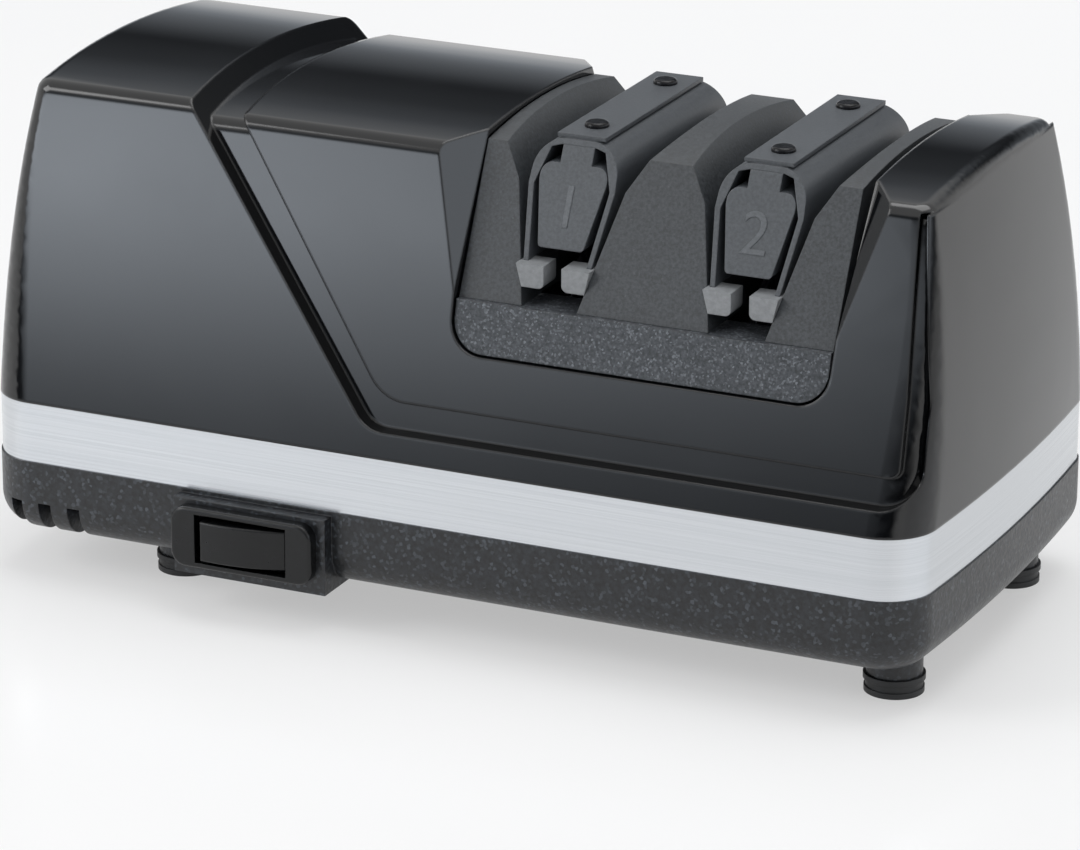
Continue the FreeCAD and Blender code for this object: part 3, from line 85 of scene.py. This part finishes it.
camera_data = bpy.data.cameras.new("product_lens")
camera_data.lens = CAMERA_LENS
camera_data.sensor_width = CAMERA_SENSOR
camera_data.clip_end = CAMERA_REACH
camera = bpy.data.objects.new("product_camera", camera_data)
bpy.context.scene.collection.objects.link(camera)
camera.location = look_from(CAMERA_TURN, CAMERA_LIFT, CAMERA_FAR, CAMERA_AIM)
camera.rotation_euler = (CAMERA_AIM - camera.location).to_track_quat("-Z", "Y").to_euler()
camera.rotation_euler.rotate_axis("Z", CAMERA_ROLL)
bpy.context.scene.camera = camera
print("camera at", [round(v, 4) for v in camera.location])

# %% [markdown]
# ## Small tools for materials
# Colours are written as people read them, in sRGB hex, and turned to the linear values
# that light is worked out in. One function adds a node, sets what it is given and joins
# its inputs, so that a material below reads like a recipe.


# %% Colour and node helpers
def linear(code, alpha=1.0):
    """sRGB hex to linear: below 0.04045 divide by 12.92, else ((c + 0.055) / 1.055) ** 2.4."""
    channels = np.array([int(code[i:i + 2], 16) for i in (1, 3, 5)]) / 255
    low = channels / 12.92
    high = ((channels + 0.055) / 1.055) ** 2.4
    return (*np.where(channels <= 0.04045, low, high).tolist(), alpha)


def grey(value):
    """A plain grey for a roughness, a share or a tone."""
    return (value, value, value, 1.0)


def add(tree, kind, links=None, values=None, **settings):
    """Add one node, set its properties and socket values, and join its inputs."""
    made = tree.nodes.new(kind)
    for name, value in settings.items():
        setattr(made, name, value)
    for socket, value in (values or {}).items():
        made.inputs[socket].default_value = value
    for socket, source in (links or {}).items():
        tree.links.new(source, made.inputs[socket])
    return made


def ramp(tree, source, stops):
    """Map a value through positions and colours."""
    made = add(tree, "ShaderNodeValToRGB", links={"Fac": source})
    strip = made.color_ramp
    while len(strip.elements) < len(stops):
        strip.elements.new(0.5)
    for element, (position, colour) in zip(strip.elements, stops):
        element.position = position
        element.color = colour
    return made.outputs["Color"]


def start_material(name, roughness, ior=1.5, metallic=0.0):
    """An empty material with its shader, its output and the object's own coordinates."""
    material = bpy.data.materials.new(name)
    material.use_nodes = True
    tree = material.node_tree
    tree.nodes.clear()
    shader = add(tree, "ShaderNodeBsdfPrincipled",
                 values={"Roughness": roughness, "IOR": ior, "Metallic": metallic})
    add(tree, "ShaderNodeOutputMaterial", links={"Surface": shader.outputs["BSDF"]})
    place = add(tree, "ShaderNodeTexCoord").outputs["Object"]
    return material, tree, shader, place


print("the middle of sRGB is", round(linear("#808080")[0], 3), "of full light")

# %% [markdown]
# ## Moulded plastics
# A mould's surface is copied onto every part. A spark-eroded mould leaves a rough grain
# whose tiny faces catch the light in glints, a fine one leaves a satin bloom, and a polished
# one leaves gloss. One recipe makes the grained ones: a noise for the grain, painted glints
# from cells, which are light spots put into the colour, and a bump of the same noise. The
# grain's size is given in millimetres. A wide second noise shades the whole piece a little,
# as uneven cooling does. A mould can't leave a perfectly sharp edge, so the bevel normal
# rounds each one to the eye.

# %% Recipe for a grained moulding
SHADE_PER_METRE = 35.0
MOULDED_EDGE = 0.35 * MM


def grained(name, dark, light, grain_mm, roughness, bump_mm,
            painted_glints=0.0, glint_colour="#8A8F95", ior=1.53, metallic=0.0):
    """A moulded grain: noise between two colours, scattered painted glints, and its bump."""
    material, tree, shader, place = start_material(name, roughness, ior, metallic)
    per_metre = 1.0 / (grain_mm * MM)
    # One cycle of the noise holds a dark grain and a light one
    noise = add(tree, "ShaderNodeTexNoise", links={"Vector": place},
                values={"Scale": per_metre * 0.5, "Detail": 3.0, "Roughness": 0.6})
    colour = ramp(tree, noise.outputs["Fac"], [(0.36, linear(dark)), (0.66, linear(light))])
    wide = add(tree, "ShaderNodeTexNoise", links={"Vector": place},
               values={"Scale": SHADE_PER_METRE, "Detail": 2.0})
    shade = ramp(tree, wide.outputs["Fac"], [(0.3, grey(0.86)), (0.7, grey(1.0))])
    colour = add(tree, "ShaderNodeMix", data_type="RGBA", blend_type="MULTIPLY",
                 values={0: 1.0}, links={6: colour, 7: shade}).outputs[2]
    if painted_glints > 0:
        # Painted glints: light cells put into the colour, each a little wider than a grain
        cells = add(tree, "ShaderNodeTexVoronoi", links={"Vector": place},
                    values={"Scale": per_metre * 0.9})
        bright = ramp(tree, cells.outputs["Color"],
                      [(1.0 - painted_glints, grey(0.0)), (1.0, grey(1.0))])
        colour = add(tree, "ShaderNodeMix", data_type="RGBA",
                     values={7: linear(glint_colour)}, links={0: bright, 6: colour}).outputs[2]
    tree.links.new(colour, shader.inputs["Base Color"])
    rough = ramp(tree, noise.outputs["Fac"],
                 [(0.3, grey(roughness * 0.82)), (0.7, grey(min(1.0, roughness * 1.15)))])
    tree.links.new(rough, shader.inputs["Roughness"])
    edge = add(tree, "ShaderNodeBevel", values={"Radius": MOULDED_EDGE}, samples=4)
    bump = add(tree, "ShaderNodeBump", values={"Distance": bump_mm * MM, "Strength": 1.0},
               links={"Height": noise.outputs["Fac"], "Normal": edge.outputs["Normal"]})
    tree.links.new(bump.outputs["Normal"], shader.inputs["Normal"])
    return material


# %% The grained finishes
materials = {
    # Tray: ABS from a coarse spark-eroded tool, black with painted grey glints
    "spark_tray": grained("abs_spark_eroded_black", "#0A0B0D", "#22252A", 0.6, 0.38, 0.12,
                          painted_glints=0.3, glint_colour="#4C5259"),
    # Guide base and its ledge: spark-eroded too, in grey, with closer and more painted glints
    "coarse_ledge": grained("abs_spark_eroded_grey", "#26292D", "#4A4E53", 0.4, 0.46, 0.08,
                            painted_glints=0.35, glint_colour="#767B81"),
    # Spring guides and number blocks: glass-filled nylon, a fine even satin grain
    "grey_guide": grained("nylon_fine_grain_grey", "#43474B", "#505459", 0.35, 0.44, 0.03),
    # Guide towers: the guides' nylon drawn darker and duller, with a few painted glints
    "tower_grey": grained("nylon_mottled_grey", "#2C2F32", "#42464A", 0.35, 0.5, 0.045,
                          painted_glints=0.12, glint_colour="#4A4E52"),
    # Stage numbers: the guides' nylon a shade lighter
    "number_face": grained("nylon_number_face", "#54585C", "#606469", 0.35, 0.42, 0.02),
    # Blade stops: acetal, pale and slippery
    "pale_stop": grained("acetal_moulded_pale", "#84878A", "#929598", 0.6, 0.36, 0.01),
    # Switch and clean-out cover: satin black polycarbonate, its glare held back by a low IOR
    "switch_plastic": grained("polycarbonate_satin_black", "#08090A", "#0F1012", 0.5, 0.24,
                              0.01, ior=1.42),
    # Feet and cord gland: rubber, matte with a little bloom
    "black_rubber": grained("rubber_moulded_black", "#101112", "#1D1E20", 0.8, 0.5, 0.02),
    # Cooling fan: plain black nylon
    "fan_plastic": grained("nylon_plain_black", "#17181A", "#242629", 0.7, 0.5, 0.02),
    # Motor brushes and shavings magnet: pressed powders, dull and even
    "carbon": grained("carbon_pressed", "#161616", "#2A2A2B", 0.5, 0.6, 0.03),
    "magnet": grained("ferrite_sintered", "#232326", "#38393C", 0.6, 0.55, 0.03),
    # Sharpening discs: steel cones coated with diamond grit, drawn 0.5 mm coarse to show, with
    # painted glints for the grit's sparkle
    "diamond_disc": grained("steel_diamond_coated", "#5B5D61", "#A2A5AA", 0.5, 0.4, 0.05,
                            painted_glints=0.2, glint_colour="#E6E8EA", metallic=0.8),
}
print("grained finishes", len(materials))

# %% [markdown]
# ## The gloss housing
# High-gloss ABS is nearly black and takes its look from what it reflects. The polished
# tool still leaves a faint waviness some millimetres across, and handling leaves hazy
# patches, so the roughness moves a little around a low value. Its edges have a small
# radius, which the bevel normal gives without more geometry.

# %% Gloss black
POLISHED_EDGE = 0.8 * MM
WAVE_DEPTH = 0.002 * MM

gloss, tree, shader, place = start_material("abs_polished_black", 0.07, ior=1.54)
shader.inputs["Base Color"].default_value = linear("#0B0C0E")
haze = add(tree, "ShaderNodeTexNoise", links={"Vector": place},
           values={"Scale": 28.0, "Detail": 5.0})
hazy = ramp(tree, haze.outputs["Fac"], [(0.35, grey(0.055)), (0.75, grey(0.11))])
tree.links.new(hazy, shader.inputs["Roughness"])
wave = add(tree, "ShaderNodeTexNoise", links={"Vector": place},
           values={"Scale": 110.0, "Detail": 0.0})
edge = add(tree, "ShaderNodeBevel", values={"Radius": POLISHED_EDGE}, samples=6)
ripple = add(tree, "ShaderNodeBump", values={"Distance": WAVE_DEPTH, "Strength": 0.6},
             links={"Height": wave.outputs["Fac"], "Normal": edge.outputs["Normal"]})
tree.links.new(ripple.outputs["Normal"], shader.inputs["Normal"])
materials["gloss_housing"] = gloss
print("gloss housing ready")

# %% [markdown]
# ## Metals
# The band is stainless strip, brushed along its length before it was bent, so its lines
# run level all the way round. A noise that is squeezed in height and stretched along the
# plan draws them. Turned and ground steel has the same recipe with its own direction, and
# each metal has its own colour.


# %% Recipe for a brushed or turned metal
def brushed(name, colour, dull, roughness, stretch, line_mm, depth_mm):
    """Lines from a noise: the axis whose stretch is 0 crosses them, one line to line_mm."""
    material, tree, shader, place = start_material(name, roughness, metallic=1.0)
    across = 1.0 / (line_mm * MM)
    scaled = add(tree, "ShaderNodeMapping", links={"Vector": place},
                 values={"Scale": tuple(across if axis == 0 else axis for axis in stretch)})
    lines = add(tree, "ShaderNodeTexNoise", links={"Vector": scaled.outputs["Vector"]},
                values={"Scale": 1.0, "Detail": 4.0, "Roughness": 0.65})
    tone = ramp(tree, lines.outputs["Fac"], [(0.3, linear(dull)), (0.7, linear(colour))])
    tree.links.new(tone, shader.inputs["Base Color"])
    rough = ramp(tree, lines.outputs["Fac"],
                 [(0.3, grey(roughness * 1.2)), (0.7, grey(roughness * 0.8))])
    tree.links.new(rough, shader.inputs["Roughness"])
    bump = add(tree, "ShaderNodeBump", values={"Distance": depth_mm * MM, "Strength": 1.0},
               links={"Height": lines.outputs["Fac"]})
    tree.links.new(bump.outputs["Normal"], shader.inputs["Normal"])
    return material


# %% The metals
materials.update({
    # Band: stainless strip, brushed level, bright with hair-fine lines
    "bright_band": brushed("stainless_brushed", "#D2D5D8", "#C6C9CD", roughness=0.22,
                           stretch=(9, 9, 0), line_mm=0.25, depth_mm=0.0006),
    # Shaft, collars and case screws: ground steel, lines round the shaft
    "steel_shaft": brushed("steel_ground", "#B9BBBE", "#9C9EA2", roughness=0.25,
                           stretch=(0, 40, 40), line_mm=0.3, depth_mm=0.002),
    # Disc springs: drawn wire, a duller grey
    "spring_steel": brushed("spring_wire_drawn", "#A9ABAE", "#8A8C90", roughness=0.3,
                            stretch=(0, 60, 60), line_mm=0.2, depth_mm=0.001),
    # Brackets: zinc-plated sheet, bluish and soft
    "zinc_bracket": brushed("steel_zinc_plated", "#B4B9BE", "#969BA1", roughness=0.35,
                            stretch=(200, 200, 0), line_mm=0.6, depth_mm=0.001),
    # Bushes: sintered bronze, brown and porous
    "bronze_bush": brushed("bronze_sintered", "#B98A4E", "#8F6736", roughness=0.45,
                           stretch=(0, 500, 500), line_mm=0.5, depth_mm=0.004),
    # Motor iron: a stack of half-millimetre sheets along the shaft
    "motor_iron": brushed("iron_laminated", "#6C6E72", "#3E4044", roughness=0.5,
                          stretch=(0, 3, 3), line_mm=0.5, depth_mm=0.03),
    # Windings and commutator: copper, its turns drawn 0.8 mm apart so that they show
    "copper_wire": brushed("copper_enamelled", "#B5713C", "#6E3C1C", roughness=0.35,
                           stretch=(5, 5, 0), line_mm=0.8, depth_mm=0.08),
})
print("finishes so far", len(materials))

# %% [markdown]
# ## Blacked screws
# The four guide screws are steel with a black oxide skin that holds a little oil. The skin
# hides the metal, so the shader isn't metallic: it is dark and shiny, the oil makes it
# uneven, and a low IOR keeps the domes from turning white.

# %% Black oxide
blacked, tree, shader, place = start_material("steel_blacked", 0.16, ior=1.3)
oil = add(tree, "ShaderNodeTexNoise", links={"Vector": place},
          values={"Scale": 900.0, "Detail": 3.0})
tone = ramp(tree, oil.outputs["Fac"], [(0.3, linear("#08080A")), (0.8, linear("#1B1C20"))])
tree.links.new(tone, shader.inputs["Base Color"])
rough = ramp(tree, oil.outputs["Fac"], [(0.3, grey(0.12)), (0.8, grey(0.24))])
tree.links.new(rough, shader.inputs["Roughness"])
materials["black_screw"] = blacked
print("finishes for the object", len(materials))

# %% [markdown]
# ## Smooth skins over the solids
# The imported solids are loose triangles. A gloss surface shows every one of them, so each
# node gets a copy whose corners are merged, whose sharp edges stay sharp and whose flat
# faces keep their own normals. The weighting does the last: a large flat face decides the
# normal at a corner that it shares with a narrow fillet.

# %% Merge, mark and weight
MERGE_WITHIN = 0.002 * MM
SHARP_OVER = math.radians(28)
FLAT_WEIGHT = 80


def skin_of(node):
    """A merged copy of one CAD node: doubles joined, edges over 28 degrees kept sharp."""
    mesh = frame["nodes"][node].data.copy()
    mesh.name = node + "_surface"
    work = bmesh.new()
    work.from_mesh(mesh)
    bmesh.ops.remove_doubles(work, verts=work.verts, dist=MERGE_WITHIN)
    for face in work.faces:
        face.smooth = True
    for line in work.edges:
        line.smooth = line.is_manifold and line.calc_face_angle(0.0) < SHARP_OVER
    work.to_mesh(mesh)
    work.free()
    mesh.materials.clear()
    piece = bpy.data.objects.new(node + "_skin", mesh)
    bpy.context.scene.collection.objects.link(piece)
    weighting = piece.modifiers.new("flat_faces_first", "WEIGHTED_NORMAL")
    weighting.keep_sharp = True
    weighting.weight = FLAT_WEIGHT
    return piece


# %% Dress every node
body_of_node = {
    node: body
    for body, nodes in frame["record"]["behaviour"]["bodies"].items() for node in nodes}
slot_of_node = {
    entry["node"]: entry["material_slot"] for entry in frame["record"]["subparts"]}
skins = {}
for node in sorted(frame["nodes"]):
    piece = skin_of(node)
    finish = "tower_grey" if "tower" in node else slot_of_node[node]
    piece.data.materials.append(materials[finish])
    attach(piece, body_of_node[node])
    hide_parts(node)
    skins[node] = piece
print("skins", len(skins), "triangles", sum(len(p.data.polygons) for p in skins.values()))

# %% [markdown]
# ## The springs
# A small spring, 5.8 mm long, sits between the two discs of each stage. Each spring's skin
# gets a mesh of its own.

# %% Springs between the discs
STAGE_MIDDLES = {1: 0.0220, 2: 0.0657}

for stage, middle in STAGE_MIDDLES.items():
    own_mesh(skins[f"disc_spring_{stage}"])
print("springs that give way", len(STAGE_MIDDLES))

# %% [markdown]
# ## The stage numbers
# Each guide carries its stage's number, moulded a little proud of the block and a shade
# lighter. A text object gives the outline; it becomes a mesh, and each of its points is
# laid on the block's sloping face by that face's own three directions.

# %% From text to a face
# The line that looks for the face starts well in front of the object
IN_FRONT = -0.2


def face_frame(node, x, z):
    """Where a line along +Y first meets a node, and right, up and out on that face."""
    mesh = skins[node].data
    spots = np.empty(len(mesh.vertices) * 3)
    mesh.vertices.foreach_get("co", spots)
    tree = BVHTree.FromPolygons(spots.reshape(-1, 3).tolist(),
                                [tuple(face.vertices) for face in mesh.polygons])
    spot, outward, _, _ = tree.ray_cast(Vector((x, IN_FRONT, z)), Vector((0, 1, 0)))
    up = Vector((0, 0, 1))
    up = (up - outward * up.dot(outward)).normalized()
    return spot, up.cross(outward).normalized(), up, outward


def raised_number(name, words, node, x, z, size, proud):
    """A numeral's mesh: (u, v, w) in text space goes to spot + u right + v up + w outward."""
    spot, right, up, outward = face_frame(node, x, z)
    text = bpy.data.curves.new(name + "_text", "FONT")
    text.body = words
    text.align_x = "CENTER"
    text.align_y = "CENTER"
    text.size = size
    text.extrude = proud
    holder = bpy.data.objects.new(name + "_text", text)
    bpy.context.scene.collection.objects.link(holder)
    graph = bpy.context.evaluated_depsgraph_get()
    mesh = bpy.data.meshes.new_from_object(holder.evaluated_get(graph))
    bpy.data.objects.remove(holder)
    flat = np.empty(len(mesh.vertices) * 3)
    mesh.vertices.foreach_get("co", flat)
    flat = flat.reshape(-1, 3)
    flat[:, :2] -= (flat[:, :2].max(axis=0) + flat[:, :2].min(axis=0)) / 2
    placed = np.array(spot) + flat @ np.array([right, up, outward])
    mesh.vertices.foreach_set("co", placed.ravel())
    mesh.update()
    piece = bpy.data.objects.new(name, mesh)
    bpy.context.scene.collection.objects.link(piece)
    return piece


# %% Numbers on the blocks
NUMERAL_LEVEL = 0.0972
NUMERAL_PROUD = 0.00012
# The font's digits were taken as 0.72 of its size; they measure 0.69, and stand 9.3 mm tall
NUMERAL_SIZE = 0.0098 / 0.72

for stage, middle in STAGE_MIDDLES.items():
    node = f"stage_{stage}_number_block"
    numeral = raised_number(f"number_{stage}", str(stage), node, middle, NUMERAL_LEVEL,
                            NUMERAL_SIZE, NUMERAL_PROUD)
    numeral.data.materials.clear()
    numeral.data.materials.append(materials["number_face"])
    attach(numeral, body_of_node[node])
    print(numeral.name, "points", len(numeral.data.vertices))

# %% [markdown]
# ## The table
# A product picture of this kind stands on a white glossy sheet. The sheet is one flat
# surface with a slight gloss, so it mirrors the object softly. It is acrylic on a light
# table: the camera and reflections see it partly lit from below, while the light that it
# throws onto the object is only what it scatters.


# %% Sheet and its glow
def grid_plane(name, centre, along, across):
    """Nine points centre + u * along + v * across, for u and v of -1, 0 and 1."""
    u, v = np.meshgrid((-1.0, 0.0, 1.0), (-1.0, 0.0, 1.0), indexing="ij")
    points = np.array(centre) + u[..., None] * np.array(along) + v[..., None] * np.array(across)
    index = np.arange(u.size).reshape(u.shape)
    corners = (index[:-1, :-1], index[1:, :-1], index[1:, 1:], index[:-1, 1:])
    mesh = bpy.data.meshes.new(name)
    mesh.from_pydata(points.reshape(-1, 3).tolist(), [],
                     np.stack(corners, axis=-1).reshape(-1, 4).tolist())
    made = bpy.data.objects.new(name, mesh)
    bpy.context.scene.collection.objects.link(made)
    return made


def seen_directly(tree):
    """1 for camera, glossy and transmission rays, 0 for the rest: the largest of three."""
    path = add(tree, "ShaderNodeLightPath")
    seen = path.outputs["Is Camera Ray"]
    for ray in ("Is Glossy Ray", "Is Transmission Ray"):
        seen = add(tree, "ShaderNodeMath", operation="MAXIMUM",
                   links={0: seen, 1: path.outputs[ray]}).outputs[0]
    return seen


WHITE = (1, 1, 1, 1)
TABLE_REACH = 6
GLOW_SHARE = 0.45

floor = grid_plane("table_sheet", (0, 0, 0), (TABLE_REACH, 0, 0), (0, TABLE_REACH, 0))
sheet, tree, shader, place = start_material("acrylic_sheet_white", 0.2, ior=1.38)
mottle = add(tree, "ShaderNodeTexNoise", links={"Vector": place},
             values={"Scale": 3.0, "Detail": 2.0})
tone = ramp(tree, mottle.outputs["Fac"], [(0.3, linear("#F7F8F9")), (0.7, linear("#FBFBFC"))])
tree.links.new(tone, shader.inputs["Base Color"])
share = add(tree, "ShaderNodeMath", operation="MULTIPLY", links={0: seen_directly(tree)},
            values={1: GLOW_SHARE})
glow = add(tree, "ShaderNodeEmission", values={"Color": WHITE, "Strength": 1.0})
lit = add(tree, "ShaderNodeMixShader",
          links={0: share.outputs[0], 1: shader.outputs[0], 2: glow.outputs[0]})
tree.links.new(lit.outputs[0], tree.nodes["Material Output"].inputs["Surface"])
floor.data.materials.append(sheet)
print("table reaches", TABLE_REACH, "m each way")

# %% [markdown]
# ## The white surround
# Behind the table there is nothing but white. The world is full white where the camera or
# a reflection looks at it, and calmer as a light, so that the shadows under the feet stay.

# %% World
CALM_LIGHT = 0.55

world = bpy.data.worlds.new("white_surround")
bpy.context.scene.world = world
world.use_nodes = True
tree = world.node_tree
tree.nodes.clear()
white = add(tree, "ShaderNodeBackground", values={"Color": WHITE, "Strength": 1.0})
calm = add(tree, "ShaderNodeBackground", values={"Color": WHITE, "Strength": CALM_LIGHT})
both = add(tree, "ShaderNodeMixShader",
           links={0: seen_directly(tree), 1: calm.outputs[0], 2: white.outputs[0]})
add(tree, "ShaderNodeOutputWorld", links={"Surface": both.outputs[0]})
print("surround lights the object at", CALM_LIGHT)

# %% [markdown]
# ## Lamps
# Two plain soft lamps light the object itself: one above and a little behind, one high at
# the left front. They are large, so that their shadows have soft edges.

# %% Soft lamps
LAMP_AIM = (0, 0, 0.05)
LAMP_POWER = 8.0


def soft_lamp(name, spot, width, height):
    """A rectangular soft lamp turned towards the object."""
    data = bpy.data.lights.new(name, "AREA")
    data.shape = "RECTANGLE"
    data.size = width
    data.size_y = height
    data.energy = LAMP_POWER
    lamp = bpy.data.objects.new(name, data)
    lamp.location = spot
    lamp.rotation_euler = (Vector(LAMP_AIM) - Vector(spot)).to_track_quat("-Z", "Y").to_euler()
    bpy.context.scene.collection.objects.link(lamp)
    print(name, "at", spot)


soft_lamp("lamp_over", (0.1, 0.25, 1.3), 1.1, 0.8)
soft_lamp("lamp_left", (-1.1, -0.8, 0.9), 0.8, 0.8)

# %% [markdown]
# ## Cards
# Gloss black shows its shape only by what stands around it. Photographers put black cards
# where they want depth and graded white ones where they want a soft sheen. The cards here
# show in reflections alone: the camera and the diffuse light don't meet them. They turn
# clear towards their edges, so that the table doesn't mirror a hard border when it is
# seen from low down.

# %% Recipe for a card
COOL_TINT = (0.88, 0.95, 1.04)
NO_TINT = (1.0, 1.0, 1.0)


def card(name, centre, along, across, stops, brightness,
         side_stops=((0.0, 1.0), (1.0, 1.0)), low_edge=0.0):
    """A graded card: a ramp over its height times one over its width, clear at its edges.

    Each ramp's place is 0.5 + (point - centre) . direction / (2 |direction| squared).
    """
    made = grid_plane(name, centre, along, across)
    made.visible_camera = False
    made.visible_diffuse = False
    made.visible_shadow = False
    material = bpy.data.materials.new(name + "_paper")
    material.use_nodes = True
    tree = material.node_tree
    tree.nodes.clear()
    place = add(tree, "ShaderNodeTexCoord").outputs["Object"]
    moved = add(tree, "ShaderNodeVectorMath", operation="SUBTRACT", links={0: place},
                values={1: tuple(centre)})
    tones, masks = [], []
    for direction, marks, tint, first, full_until in (
            (np.array(across), stops, COOL_TINT, low_edge, 0.75),
            (np.array(along), side_stops, NO_TINT, 0.0, 0.85)):
        share = add(tree, "ShaderNodeVectorMath", operation="DOT_PRODUCT",
                    links={0: moved.outputs[0]},
                    values={1: tuple(direction / (2 * direction.dot(direction)))})
        level = add(tree, "ShaderNodeMath", operation="ADD",
                    links={0: share.outputs["Value"]}, values={1: 0.5}).outputs[0]
        tones.append(ramp(tree, level, [
            (at, (*(value * part for part in tint), 1.0)) for at, value in marks]))
        masks.append(ramp(tree, level, [(0.0, grey(first)), (0.15, grey(1.0)),
                                        (full_until, grey(1.0)), (1.0, grey(0.0))]))
    whole = add(tree, "ShaderNodeMath", operation="MULTIPLY", links={0: masks[0], 1: masks[1]})
    clear = add(tree, "ShaderNodeBsdfTransparent")
    tone = add(tree, "ShaderNodeMix", data_type="RGBA", blend_type="MULTIPLY",
               values={0: 1.0}, links={6: tones[0], 7: tones[1]}).outputs[2]
    glow = add(tree, "ShaderNodeEmission", links={"Color": tone},
               values={"Strength": brightness})
    faded = add(tree, "ShaderNodeMixShader",
                links={0: whole.outputs[0], 1: clear.outputs[0], 2: glow.outputs[0]})
    add(tree, "ShaderNodeOutputMaterial", links={"Surface": faded.outputs[0]})
    made.data.materials.append(material)
    print(name, "at", centre)


# %% Three cards
# In front and to the left, where the sloping front looks: dark low, brightest a quarter of
# the way up, dim above, and darker to the right. Its foot on the table stays solid
card("card_front", (-0.4, -1.1, 0.42), (1.6, 0, 0), (0, 0, 0.42),
     [(0.0, 0.004), (0.09, 0.02), (0.17, 0.3), (0.27, 1.0), (0.34, 0.9), (0.46, 0.12),
      (1.0, 0.08)], 5.2,
     side_stops=((0.0, 1.0), (0.42, 1.0), (0.50, 0.55), (0.56, 0.25), (1.0, 0.15)),
     low_edge=1.0)
# Behind, where the top looks: half bright low, darkest just under the middle, brighter above
card("card_back", (-0.5, 1.4, 0.72), (1.5, 0, 0), (0, 0, 0.6),
     [(0.0, 0.9), (0.2, 0.35), (0.42, 0.05), (0.6, 0.12), (1.0, 0.7)], 1.0)
# To the right, where the right end looks: darker low, brighter high
card("card_right", (1.3, 0.1, 0.35), (0, 1.0, 0), (0, 0, 0.35),
     [(0.0, 0.02), (0.2, 0.1), (0.45, 0.8), (1.0, 1.0)], 2.4)

# %% [markdown]
# ## Colours out
# The Standard view shows colours as they were written, where a filmic one would grey the
# white surround.

# %% Colour management
bpy.context.scene.view_settings.view_transform = "Standard"
